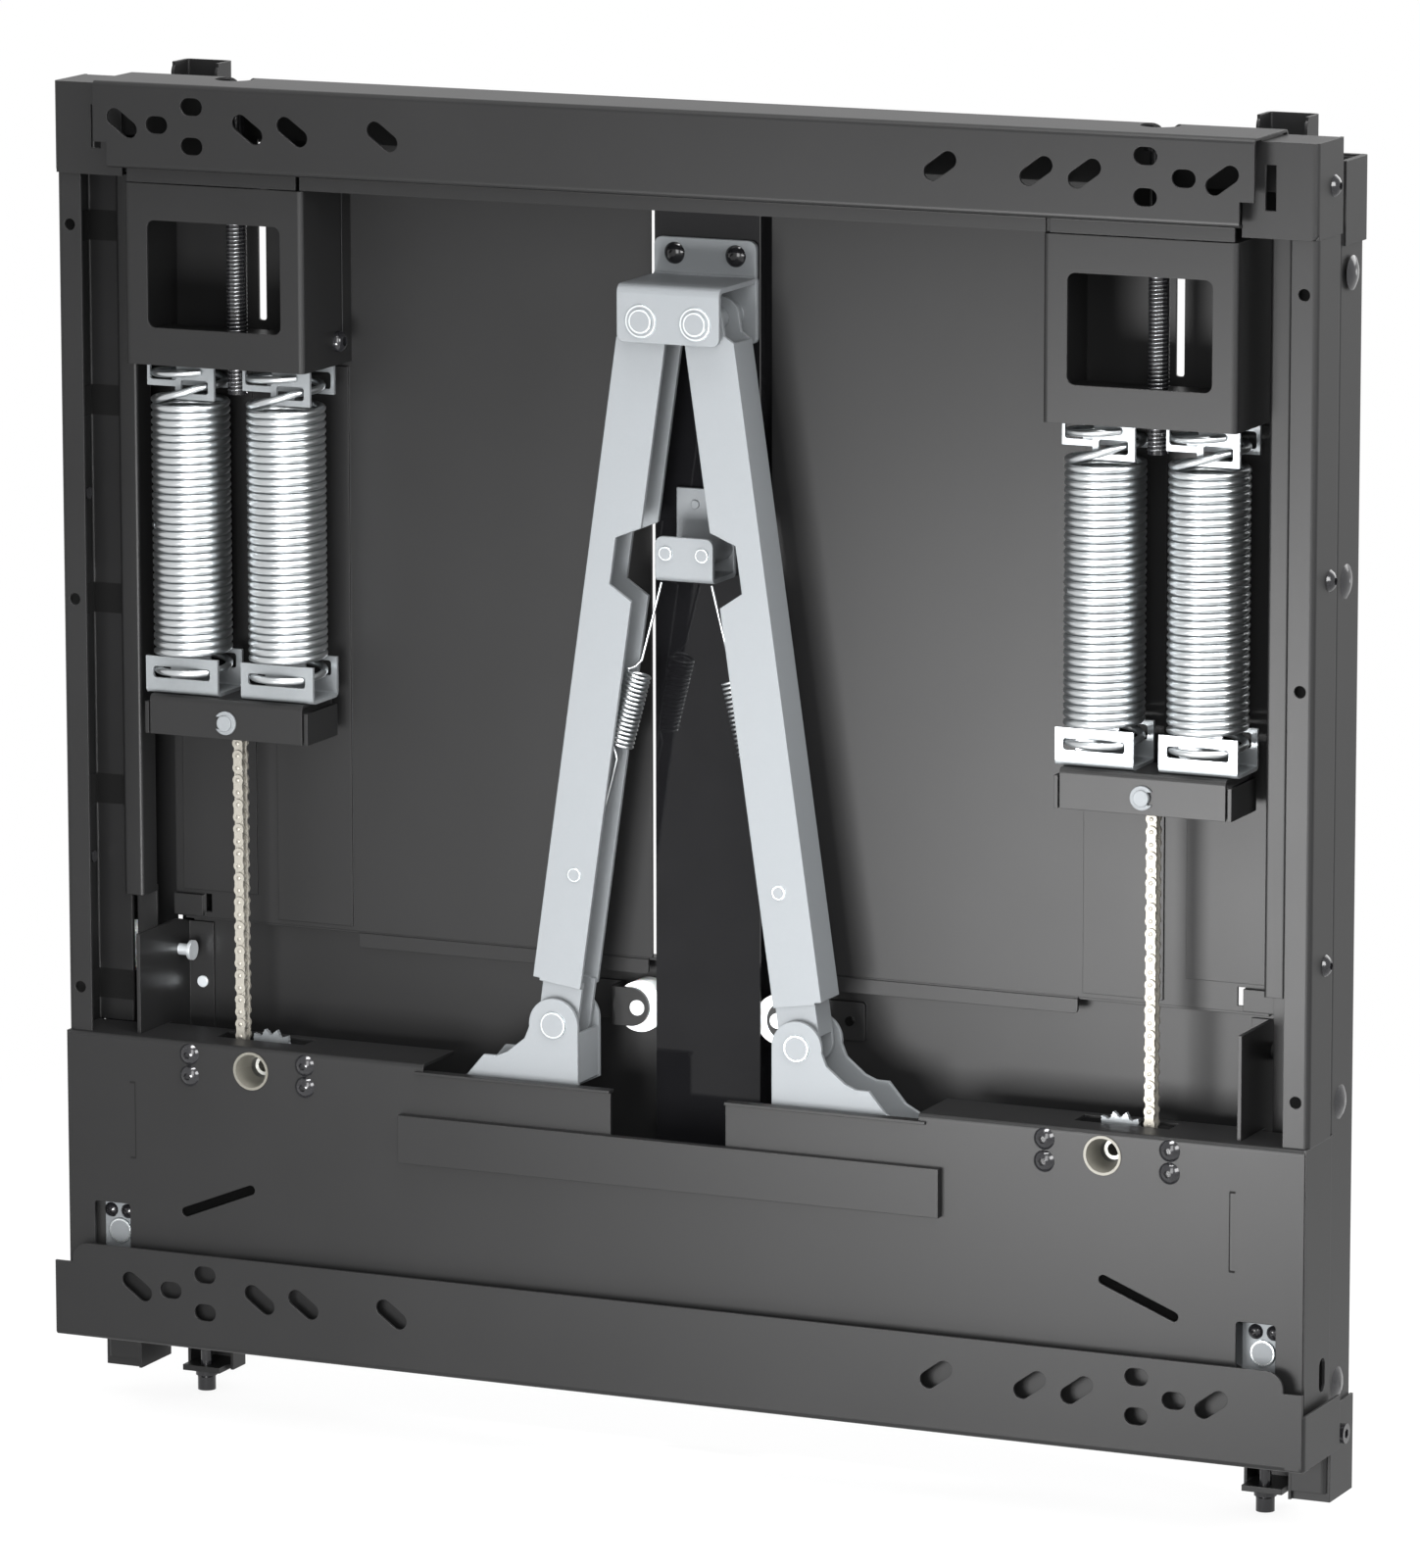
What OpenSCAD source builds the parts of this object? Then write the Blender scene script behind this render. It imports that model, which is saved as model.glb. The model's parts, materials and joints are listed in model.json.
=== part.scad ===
// Height-adjustable tv mount: a wall frame, and a spring-balanced carriage that slides up it.
// Millimetres. X runs to the right, Y towards the wall, Z up. The origin lies on the wall plane,
// at the centre of the four wall bolts. Depths are counted from the plane that the display bolts to.

/* [Overall] */
// Outside width of the carriage over its two columns
tray_w = 680; // [660:1:720]
// Depth from the display plane to the wall
mount_d = 96.5; // [94:0.5:110]
// Lift of the carriage
travel = 400; // [360:1:402]

/* [Sheet metal] */
// Thickness of the folded sheets
sheet_t = 1.5; // [1.2:0.1:1.8]
// Bend radius at the middle of a sheet
bend_r = 1.9; // [1.5:0.1:2.4]
// Thickness of the zinc brackets
bracket_t = 2.5; // [2:0.1:2.7]
// Thickness of the arms
arm_t = 2.2; // [1.8:0.1:2.3]

/* [Display slots] */
// Distance between the two rows of display slots
row_gap = 600; // [590:1:610]
// Width of every display slot
slot_w = 8.8; // [8:0.1:9.5]
// Length of the slanting slots
slot_len = 19; // [15:0.5:22]
// Slant of the slanting slots in degrees
slot_tilt = 36; // [25:1:45]
// Length of the short level slots
short_len = 12.2; // [10:0.1:13]
// Distance from the carriage's side to the level slot of each row
level_in = 64; // [60:0.5:68]
// Distance from the carriage's side to the pair of short slots
pair_in = 83.7; // [82:0.1:88]
// Height of the short slots over and under the row
pair_dz = 9.9; // [9:0.1:11]

/* [Beams] */
// Gap from each end of the top beam to the outside of the carriage
top_beam_gap = 28; // [26:1:30]
// Top of the top beam over its row
top_beam_rise = 20.8; // [19:0.1:22]
// Bottom of the top beam under its row
top_beam_drop = 22.7; // [21:0.1:24]
// Depth of the top beam
top_beam_d = 45; // [44:0.5:46]
// Top of the bottom beam over its row
low_beam_rise = 20; // [18:0.5:22]
// Bottom of the bottom beam under its row
low_beam_drop = 30; // [28:0.5:32]
// Depth of the bottom beam's foot flange, up to the panel
panel_d = 10; // [9.5:0.1:10.5]

/* [Columns] */
// Depth at which the column's face starts
column_d = 13; // [12.6:0.1:13.6]
// Width of the column's face
column_face = 13.5; // [11:0.5:15]
// Depth of the back of the column
column_back = 45; // [44:0.1:45.5]
// Diameter of the holes in the column's face
column_hole = 6; // [4:0.5:8]

/* [Wall frame] */
// Width of the side channel
channel_w = 18.2; // [17.5:0.1:18.6]
// Depth at which the side channel starts
channel_front = 47; // [46.5:0.1:47.5]
// Top of the side channel
channel_top = 306; // [305:0.5:312]
// Bottom of the side channel
channel_foot = 352; // [350:0.5:354]
// Height of the cross members
cross_h = 21; // [18:0.5:22]
// Width of the centre profile
profile_w = 57.2; // [57:0.1:57.6]
// Depth at which the centre profile starts
profile_front = 59; // [58.8:0.1:59.2]

/* [Wall rails] */
// Distance from the carriage's side to the middle of each wall rail
rail_in = 44.4; // [40:0.1:50]
// Width of a wall rail
rail_w = 26.5; // [24:0.5:30]
// Top of the wall rails
rail_top = 322.6; // [318:0.1:330]
// Distance between the upper and lower wall bolts
wall_bolt_gap = 500; // [300:10:560]
// Diameter of the wall bolt holes
wall_bolt_hole = 9; // [7:0.5:11]
// Diameter of the levelling bolts
level_bolt = 6; // [5:0.5:7]

/* [Spring units] */
// Distance from the carriage's side to each spindle
spring_in = 90; // [89:0.5:91]
// Distance between the two springs of a unit
spring_gap = 54.2; // [53:0.1:56]
// Outside diameter of the springs
spring_od = 40.3; // [38:0.1:41]
// Wire diameter of the springs
wire_d = 3.3; // [3:0.1:3.4]
// Curls in the body of each spring
spring_curls = 16; // [10:1:18]
// Depth of the spring and spindle axes
spring_d = 35.5; // [35:0.1:36]
// Width of the spring box
box_w = 100.5; // [98:0.5:102]
// Top of the spring box
box_top = 269; // [267:0.5:269.4]
// Height of the spring box
box_h = 92; // [90:0.5:94]
// Spindle diameter
spindle_d = 10; // [8:0.5:11]

/* [Chain drive] */
// Pitch of the roller chain
chain_pitch = 6.35; // [6.3:0.01:6.4]
// Teeth on the sprocket
teeth = 16; // [15:1:16]
// Height of the sprocket axle below the middle
sprocket_drop = 183.2; // [182:0.1:186]
// Diameter of the sprocket's bearing
bearing_d = 12; // [10:0.5:13]

/* [Arms] */
// Distance from the middle to the upper arm pivots
pivot_x = 14.7; // [14.4:0.1:15]
// Height of the upper arm pivots
pivot_z = 213.9; // [213:0.1:215]
// Length of the upper arm between its pivots
upper_len = 363.7; // [360:0.1:364]
// Tilt of the upper arm from upright at the lowest position
upper_tilt = 8.23; // [8.1:0.01:8.4]
// Width of the arms
arm_w = 26.4; // [25:0.2:27.4]
// Distance from the carriage's side to the lower arm pivots
low_pivot_in = 25; // [24:0.1:26]
// Height of the lower arm pivots below the middle
low_pivot_drop = 276.4; // [275.6:0.1:277]
// Diameter of the arm pivots
pivot_d = 8; // [7:0.5:9]
// Radial play of every turning fit
fit = 0.06; // [0.03:0.01:0.08]

/* [Front panel] */
// Top edge of the panel below the middle
panel_drop = 171; // [170:0.1:172]
// Half the length of the raised cover
cover_half = 148.4; // [146:0.1:152]
// Height of the raised cover
cover_h = 24.7; // [22:0.1:26]
// Half the width of the cut-out in the panel
cutout_half = 31.6; // [30.5:0.1:33]

/* [Guides] */
// Radius of the guide rollers beside the centre profile
roller_r = 12.9; // [12.7:0.1:13]
// Height of the guide rollers below the middle
roller_drop = 142.4; // [142:0.1:144]
// Height of the side rollers below the middle
side_roller_drop = 135; // [134:0.1:137]
// Radius of the side rollers
side_roller_r = 13; // [12:0.1:13.2]

/* [Hidden] */
$fn = 48;

// Finishes
charcoal = "#3c3d3f";
black = "#161718";
zinc = "#c3c9cc";
spring_steel = "#dfe3e4";
nickel = "#d8d2c4";
nylon = "#f2f2f0";
screw_black = "#1d1d1f";

half_w = tray_w / 2;
row_z = row_gap / 2;
slant_x = [half_w - 44.4, 225, 200, 150];
level_x = half_w - level_in;
pair_x = half_w - pair_in;
top_beam_half = half_w - top_beam_gap;
rail_x = half_w - rail_in;
spring_x = half_w - spring_in;
low_pivot_x = half_w - low_pivot_in;
// Gap between the carriage and the wall frame where nothing slides
run_gap = 0.4;
// Play of a screw or pin in its hole
screw_play = 0.3;

// Depths behind the display plane
back_d = 63.8;
lower_back_d = 74.4;
cross_d = 77;
cross_back = 80.5;
rail_ear_d = 79;

// Model Y of a depth
function yd(d) = d - mount_d;

// Box between pairs of x, depth and height
module blk(x, d, z) {
  translate([x[0], yd(d[0]), z[0]]) cube([x[1] - x[0], d[1] - d[0], z[1] - z[0]]);
}

// Right-hand shape for side 1, its mirror image for side -1
module on_side(s) {
  if (s > 0) children(); else mirror([1, 0, 0]) children();
}

module both_sides() {
  for (s = [-1, 1]) on_side(s) children();
}

module rod_y(x, z, r, d0, d1) {
  translate([x, yd(d0), z]) rotate([-90, 0, 0]) cylinder(r = r, h = d1 - d0);
}

module rod_x(x0, x1, d, z, r) {
  translate([x0, yd(d), z]) rotate([0, 90, 0]) cylinder(r = r, h = x1 - x0);
}

module rod_z(x, d, z0, z1, r) {
  translate([x, yd(d), z0]) cylinder(r = r, h = z1 - z0);
}

// Outline in x and z, pushed through from depth d0 to d1
module xz(d0, d1) {
  translate([0, yd(d1), 0]) rotate([90, 0, 0]) linear_extrude(height = d1 - d0) children();
}

// Outline in depth and z, pushed through from x0 to x1
module yz(x0, x1) {
  translate([x0, -mount_d, 0]) rotate([90, 0, 90]) linear_extrude(height = x1 - x0) children();
}

// Outline in x and depth, pushed up from z0 to z1
module xy(z0, z1) {
  translate([0, -mount_d, z0]) linear_extrude(height = z1 - z0) children();
}

// Round-ended slot through the depths d0 to d1, turned by tilt from level
module slot_y(x, z, w, len, tilt, d0, d1) {
  translate([x, yd(d0), z]) rotate([0, -tilt, 0]) {
    translate([-(len - w) / 2, 0, -w / 2]) cube([len - w, d1 - d0, w]);
    for (e = [-1, 1]) translate([e * (len - w) / 2, 0, 0]) rotate([-90, 0, 0])
      cylinder(d = w, h = d1 - d0);
  }
}

// Rectangle with round corners, between pairs of x and z
module soft_rect(x, z, r) {
  translate([x[0] + r, z[0]]) square([x[1] - x[0] - 2 * r, z[1] - z[0]]);
  translate([x[0], z[0] + r]) square([x[1] - x[0], z[1] - z[0] - 2 * r]);
  for (cx = [x[0] + r, x[1] - r], cz = [z[0] + r, z[1] - r]) translate([cx, cz]) circle(r);
}

// Folded sheets: the outline of a sheet of thickness t that follows a line with round bends
function unit(v) = v / norm(v);
function left_of(u) = [-u[1], u[0]];
function turned(v, a) = [v[0] * cos(a) - v[1] * sin(a), v[0] * sin(a) + v[1] * cos(a)];
function cross2(a, b) = a[0] * b[1] - a[1] * b[0];
bend_steps = 4;
function bend(p, a, b, off, r) =
  let (s = sign(cross2(a, b)), turn = acos(a * b), start = p - a * r * tan(turn / 2),
       centre = start + left_of(a) * r * s)
  [for (k = [0:bend_steps]) centre - turned(left_of(a), s * turn * k / bend_steps) * s * (r - s * off)];
function edge(pts, off, r) = let (n = len(pts) - 1)
  concat([pts[0] + left_of(unit(pts[1] - pts[0])) * off],
    [for (i = [1:1:n - 1]) each bend(pts[i], unit(pts[i] - pts[i - 1]), unit(pts[i + 1] - pts[i]), off, r)],
    [pts[n] + left_of(unit(pts[n] - pts[n - 1])) * off]);
function reversed(l) = [for (i = [len(l) - 1:-1:0]) l[i]];
function folded(pts, t, r) = concat(edge(pts, t / 2, r), reversed(edge(pts, -t / 2, r)));

// A tube of tube_sides sides along points, with one sideways direction for each point
tube_sides = 6;
function along(pts, i) = unit(pts[min(i + 1, len(pts) - 1)] - pts[max(i - 1, 0)]);
module tube(pts, across, r) {
  n = len(pts);
  m = tube_sides;
  rings = [for (i = [0:n - 1]) let (t = along(pts, i), u = unit(cross(t, across[i])), v = cross(u, t))
    for (k = [0:m - 1]) pts[i] + r * (cos(360 * k / m) * u + sin(360 * k / m) * v)];
  walls = [for (i = [0:n - 2]) for (k = [0:m - 1])
    let (a = i * m + k, b = i * m + (k + 1) % m)
    each [[a, a + m, b + m], [a, b + m, b]]];
  start = [for (k = [1:m - 2]) [0, k, k + 1]];
  end = [for (k = [1:m - 2]) let (e = (n - 1) * m) [e, e + k + 1, e + k]];
  polyhedron(points = rings, faces = concat(walls, start, end), convexity = 10);
}

// Least distance between the surfaces of stretches of one tube that lie skip points apart
function least_gap(pts, r, skip) = min([for (i = [0:len(pts) - 1 - skip])
  min([for (j = [i + skip:len(pts) - 1]) norm(pts[i] - pts[j])])]) - 2 * r;

// Button-head screw pointing back from depth d: its head stands in front
button_r = 5.5;
button_h = 3.2;
module button_screw_y(x, z, d, r, len) {
  difference() {
    union() {
      translate([x, yd(d), z]) rotate([90, 0, 0]) intersection() {
        cylinder(r = button_r, h = button_h);
        translate([0, 0, button_h - 6.4]) sphere(r = 6.4, $fn = 40);
      }
      rod_y(x, z, r, d - 0.1, d + len);
    }
    translate([x, yd(d - button_h - 0.1), z]) rotate([-90, 0, 0]) cylinder(d = 4, h = 2, $fn = 6);
  }
}

// Wall rails
rail_leg = 1.6;
hook_drop = rail_top - channel_top;
lug_z = channel_foot + 9.5;
lug_t = 3;
level_bolt_d = 76;
module wall_rail_right() {
  x0 = rail_x - rail_w / 2;
  x1 = rail_x + rail_w / 2;
  mid = rail_leg / 2;
  ear_r = 6;
  difference() {
    union() {
      xy(-lug_z, rail_top) polygon(folded([[x0 + mid, cross_back], [x0 + mid, mount_d - mid],
        [x1 - mid, mount_d - mid], [x1 - mid, cross_back]], rail_leg, bend_r));
      for (x = [x0, x1 - rail_leg]) difference() {
        blk([x, x + rail_leg], [rail_ear_d, cross_back + 1], [channel_top, rail_top]);
        difference() {
          blk([x - 1, x + 3], [rail_ear_d - 1, rail_ear_d + ear_r], [rail_top - ear_r, rail_top + 1]);
          rod_x(x - 2, x + 4, rail_ear_d + ear_r, rail_top - ear_r, ear_r);
        }
      }
      blk([x0 + 2.8, x1 - 2.4], [level_bolt_d - 6, mount_d - mid], [-lug_z, -lug_z + lug_t]);
    }
    for (z = [-1, 1] * wall_bolt_gap / 2)
      rod_y(rail_x, z, wall_bolt_hole / 2, mount_d - 4, mount_d + 1);
    rod_z(rail_x, level_bolt_d, -lug_z - 1, -lug_z + lug_t + 1, level_bolt / 2 + fit);
  }
}

module wall_rails() color(charcoal) both_sides() wall_rail_right();

// Levelling bolts, screwed up through the lugs against the bottom cross member
level_head_r = 4.75;
level_head_h = 7;
level_gap = 3.3;
cross_low = channel_foot - 7;
module levelling_bolts() color(zinc) both_sides() {
  top = -lug_z - level_gap;
  difference() {
    union() {
      rod_z(rail_x, level_bolt_d, top - level_head_h, top, level_head_r);
      rod_z(rail_x, level_bolt_d, top - 0.1, -cross_low, level_bolt / 2);
      rod_z(rail_x, level_bolt_d, -lug_z - 2.4, -lug_z, level_head_r + 1);
    }
    translate([rail_x, yd(level_bolt_d), top - level_head_h - 1]) cylinder(d = 5, h = 4, $fn = 6);
  }
}

// Side channels, open towards the middle
channel_out = half_w - 1.8;
channel_back = 80;
channel_in = channel_out - channel_w;
cap_z = [channel_top - 55, 100.6, -157, -channel_foot + 53];
// Inner edge of the wide back flange
flange_in = rail_x + 15.4;
side_screw_z = [296, 105, -84];
module side_channel_shape() color(charcoal) {
  mid = sheet_t / 2;
  x0 = channel_out - channel_w;
  difference() {
    union() {
      xy(-channel_foot, channel_top) polygon(folded([[x0, channel_front + mid],
        [channel_out - mid, channel_front + mid], [channel_out - mid, channel_back - mid],
        [x0, channel_back - mid]], sheet_t, bend_r));
      xy(channel_top - 41, channel_top) polygon(folded([
        [channel_out + mid, channel_front + 4], [channel_out + mid, channel_back + 1.6 - mid],
        [channel_out - 12, channel_back + 1.6 - mid]], sheet_t, bend_r));
      blk([channel_out - 12, channel_out], [channel_back - 0.1, channel_back + 0.2],
        [channel_top - 41, channel_top]);
      blk([flange_in, x0 + 1], [channel_back - sheet_t, channel_back], [12 - channel_foot, channel_top]);
    }
    for (z = cap_z) rod_x(channel_out - 4, channel_out + 4, 61, z, 3 + screw_play);
    rod_x(channel_out - 4, channel_out + 4, foot_screw_d, foot_screw_z, foot_screw_r + screw_play);
  }
}

module side_channel_left() on_side(-1) side_channel_shape();
module side_channel_right() side_channel_shape();

// Cross members between the side channels, behind the carriage
cross_half = channel_out - sheet_t - bend_r;
cross_pad = flange_in - run_gap;
cross_foot_t = 2;
module top_cross_member() color(charcoal) {
  z1 = channel_top - 1;
  blk([-cross_half, cross_half], [cross_d, channel_back - sheet_t], [z1 - cross_h, z1]);
  blk([-cross_pad, cross_pad], [channel_back - sheet_t - 0.1, cross_back], [z1 - cross_h, z1]);
}

module bottom_cross_member() color(charcoal) {
  z0 = -cross_low;
  blk([-cross_half, cross_half], [cross_d, channel_back - sheet_t], [z0, z0 + cross_h + 18]);
  blk([-cross_pad, cross_pad], [channel_back - sheet_t - 0.1, cross_back], [z0, z0 + cross_h + 18]);
  blk([-rail_x - 12, rail_x + 12], [level_bolt_d - 6, cross_d + 0.1],
    [z0, z0 + cross_foot_t]);
}

// Centre profile with a running groove in each side
profile_half = profile_w / 2;
groove_front = 60.1;
groove_in = 3.3;
module centre_profile() color(black) difference() {
  blk([-profile_half, profile_half], [profile_front, cross_d], [cross_foot_t - cross_low, channel_top - 1]);
  both_sides() blk([profile_half - groove_in, profile_half + 1], [groove_front, lower_back_d],
    [-cross_low - 1, channel_top]);
  blk([-profile_half + 7, profile_half - 7], [profile_front + 4, cross_d - 4],
    [-cross_low - 1, channel_top]);
  for (x = [-1, 1] * top_screw_x) rod_y(x, top_screw_z, top_screw_r + screw_play, profile_front - 1,
    profile_front + 5);
  both_sides() rod_y(9.9, stop_rivet_z, 2 + screw_play, profile_front - 1, profile_front + 5);
}

// Corner feet, wrapped round the lower ends of the side channels
foot_bottom = channel_foot + 4.4;
foot_screw_d = 58;
foot_screw_z = -channel_foot + 29;
foot_top = cap_z[3] - 9;
foot_back = 38 - channel_foot;
foot_screw_r = 3;
module corner_feet() color(charcoal) both_sides() difference() {
  union() {
    yz(channel_out, channel_out + sheet_t) polygon([[channel_front + 2, -foot_bottom],
      [channel_back, -foot_bottom], [channel_back, foot_top], [channel_front + 6, foot_top],
      [channel_front + 2, foot_back]]);
    blk([channel_in - sheet_t, channel_out + 0.1], [channel_front + 2, channel_back],
      [-foot_bottom, -channel_foot]);
    blk([channel_in - sheet_t, channel_in], [channel_front, cross_d - run_gap], [-foot_bottom, foot_back]);
    blk([channel_out - 14, channel_out + 0.1], [channel_back, channel_back + sheet_t],
      [-foot_bottom, foot_back]);
  }
  rod_x(channel_out - 4, channel_out + 4, foot_screw_d, foot_screw_z, foot_screw_r + screw_play);
  rod_x(channel_out - 1, channel_out + 4, 61, cap_z[3], 4);
}

module foot_screws() color(screw_black) both_sides() difference() {
  union() {
    rod_x(channel_out + sheet_t, channel_out + sheet_t + 5, foot_screw_d, foot_screw_z, 5);
    rod_x(channel_out - 6, channel_out + sheet_t + 0.1, foot_screw_d, foot_screw_z, foot_screw_r);
  }
  translate([channel_out + sheet_t + 3, yd(foot_screw_d), foot_screw_z]) rotate([0, 90, 0])
    cylinder(d = 5, h = 4, $fn = 6);
}

// Domed caps over the side channels' screws
cap_r = 8.5;
cap_h = 2.2;
module side_caps() color(black) both_sides() for (i = [0:3]) {
  x = channel_out + (i == 0 ? sheet_t : 0);
  sphere_r = (cap_r * cap_r + cap_h * cap_h) / (2 * cap_h);
  translate([x, yd(61), cap_z[i]]) rotate([0, 90, 0]) intersection() {
    cylinder(r = cap_r + 1, h = cap_h);
    translate([0, 0, cap_h - sphere_r]) sphere(r = sphere_r, $fn = 64);
  }
  rod_x(channel_out - 4, x + 0.1, 61, cap_z[i], 3);
}

// Top bracket: base plate on the profile, shelf, front plate and two riveted pivots
bracket_half = 27.6;
bracket_front = 12;
bracket_low = 203.2;
bracket_shelf = 231.9;
bracket_top = 250.4;
bracket_corner = 4;
top_screw_x = 16.6;
top_screw_z = 242.5;
top_screw_r = 3;
arm_front = 20.3;
arm_back = 42.7;
module top_bracket() color(zinc) difference() {
  union() {
    mid = bracket_t / 2;
    intersection() {
      yz(-bracket_half, bracket_half) polygon(folded([[bracket_front + mid, bracket_low],
        [bracket_front + mid, bracket_shelf - mid], [profile_front - mid, bracket_shelf - mid],
        [profile_front - mid, bracket_top]], bracket_t, bend_r + 1));
      union() {
        xz(bracket_front - 1, bracket_front + bracket_t + 2) soft_rect([-bracket_half, bracket_half],
          [bracket_low, bracket_shelf + 9], bracket_corner);
        xz(bracket_front + bracket_t + 1, profile_front + 1) soft_rect([-bracket_half, bracket_half],
          [bracket_low - 9, bracket_top], bracket_corner);
      }
    }
    xz(profile_front - bracket_t - 0.8, profile_front) soft_rect([-bracket_half - 0.5, bracket_half + 0.5],
      [bracket_low - 4, bracket_shelf + 1], 3);
    both_sides() {
      rod_y(pivot_x, pivot_z, pivot_d / 2, bracket_front - 0.1, profile_front);
      rod_y(pivot_x, pivot_z, 6.2, bracket_front - 1.4, bracket_front + 0.1);
      rod_y(pivot_x, pivot_z, 8.3, bracket_front - 0.5, bracket_front + 0.1);
      rod_y(pivot_x, pivot_z, 6.5, bracket_front + bracket_t - 0.1, arm_front - run_gap);
      rod_y(pivot_x, pivot_z, 5.6, arm_front + arm_t + run_gap, arm_back - arm_t - run_gap);
      rod_y(pivot_x, pivot_z, 8.3, arm_back + run_gap, arm_back + 3);
      rod_y(pivot_x, pivot_z, 6.5, arm_back + 3, profile_front - bracket_t);
    }
  }
  for (x = [-1, 1] * top_screw_x)
    rod_y(x, top_screw_z, top_screw_r + screw_play, profile_front - 8, profile_front + 1);
}

module top_bracket_screws() color(screw_black) for (x = [-1, 1] * top_screw_x)
  button_screw_y(x, top_screw_z, profile_front - bracket_t, top_screw_r, bracket_t + 3.5);

// Stop bracket between the arms, which also holds the arm springs
stop_half = 15.7;
stop_front = 30.5;
stop_low = 81.6;
stop_high = 104.2;
stop_rivet_z = 95.8;
arm_spring_d = 34;
module stop_bracket() color(zinc) {
  mid = bracket_t / 2;
  intersection() {
    yz(-stop_half, stop_half) polygon(folded([[stop_front + mid, stop_high],
      [stop_front + mid, stop_low + mid], [profile_front - mid, stop_low + mid],
      [profile_front - mid, 125]], bracket_t, bend_r));
    union() {
      xz(stop_front - 1, stop_front + bracket_t + 2) soft_rect([-stop_half, stop_half],
        [stop_low - 9, stop_high], bracket_corner);
      blk([-stop_half - 1, stop_half + 1], [stop_front + bracket_t + 1, profile_front + 1],
        [stop_low - 9, 126]);
    }
  }
  both_sides() {
    rod_y(9.9, stop_rivet_z, 3.6, stop_front - 0.9, stop_front + 0.1);
    rod_y(9.9, stop_rivet_z, 5, stop_front + bracket_t, profile_front - bracket_t);
    rod_y(9.9, stop_rivet_z, 2, profile_front - 0.1, profile_front + 4);
  }
  rod_y(-5.5, 117, 2.2, profile_front - bracket_t - 0.9, profile_front - bracket_t + 0.1);
}

// Display slots of one beam, cut through its front sheet
module beam_slots(z) {
  for (s = [-1, 1]) {
    for (x = slant_x) slot_y(s * x, z, slot_w, slot_len, s * slot_tilt, -1, sheet_t + 1);
    slot_y(s * level_x, z, slot_w, short_len, 0, -1, sheet_t + 1);
    for (e = [-1, 1]) slot_y(s * pair_x, z + e * pair_dz, slot_w, short_len, 0, -1, sheet_t + 1);
  }
}

// Top beam with a hole over each spindle
top_z = row_z + top_beam_rise;
top_low = row_z - top_beam_drop;
lip_low = top_low - 7.8;
lip_d = 11.5;
module top_beam() color(charcoal) difference() {
  mid = sheet_t / 2;
  yz(-top_beam_half, top_beam_half) polygon(folded([[top_beam_d - mid, row_z - 10],
    [top_beam_d - mid, top_z - mid], [mid, top_z - mid], [mid, top_low + mid],
    [lip_d - mid, top_low + mid], [lip_d - mid, lip_low]], sheet_t, bend_r));
  beam_slots(row_z);
  both_sides() {
    rod_z(spring_x, spring_d, top_z - 3, top_z + 1, 10);
    blk([top_beam_half - 7.5, top_beam_half + 1], [-1, 6], [top_low - 1, top_low + 12.8]);
    blk([top_beam_half - 13.5, top_beam_half + 1], [5, lip_d + 1], [lip_low - 1, top_low + 14]);
    blk([spring_x - 48.8, spring_x - 46.6], [lip_d - 3, lip_d + 1], [lip_low - 1, top_low - 1]);
  }
}

// Bottom beam with wings at its ends
low_z = -row_z - low_beam_drop;
low_top = -row_z + low_beam_rise;
wing_x = half_w + 4.1;
module bottom_beam() color(charcoal) difference() {
  mid = sheet_t / 2;
  corner = 9;
  union() {
    intersection() {
      yz(-half_w - 3, half_w + 3) polygon(folded([[mid, low_top], [mid, low_z + mid],
        [panel_d, low_z + mid]], sheet_t, bend_r));
      xz(-1, panel_d + 1) {
        soft_rect([7 - half_w, half_w - 7], [low_z + 22, low_top], corner);
        translate([-half_w - 3, low_z - 1]) square([2 * half_w + 6, low_top - low_z - corner - 0.5]);
      }
    }
    both_sides() xy(low_z + 1.2, low_z + 28.5) polygon(folded([[half_w - 6, mid],
      [wing_x - mid, mid], [wing_x - mid, 50]], sheet_t, bend_r));
  }
  beam_slots(-row_z);
}

// Corner brackets that join the top beam to the columns
end_front = 11;
end_low = top_low - 5.4;
end_top = top_z - sheet_t - 0.9;
end_out = half_w + 0.3;
end_in = half_w - 38.3;
module beam_ends() color(charcoal) both_sides() difference() {
  mid = sheet_t / 2;
  union() {
    xy(end_low, end_top) polygon(folded([[end_in, end_front + mid], [end_out - mid, end_front + mid],
      [end_out - mid, top_beam_d]], sheet_t, bend_r));
    blk([end_in + 2, end_out - 1], [end_front + 1, top_beam_d - sheet_t - run_gap],
          [end_top - sheet_t, end_top]);
    blk([end_in + 2, top_beam_half - 1], [end_front + 1, top_beam_d - sheet_t - 3],
      [end_top - 0.1, top_z - sheet_t]);
  }
  blk([top_beam_half + 1.5, top_beam_half + 7], [end_front - 1, end_front + 4],
        [top_low + 8, top_low + 30]);
  difference() {
    blk([end_out - 4, end_out + 1], [end_front - 1, top_beam_d + 1], [end_low - 1, end_low + 4]);
    rod_y(end_out - 4, end_low + 4, 4, end_front - 1, end_front + 2.2);
    blk([end_out - 5, end_out + 1], [end_front + 2.2, top_beam_d + 1], [end_low - 1, end_low + 5]);
  }
  rod_x(end_out - 3, end_out + 1, screw_d, side_screw_z[0], 3 + screw_play);
}

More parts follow.
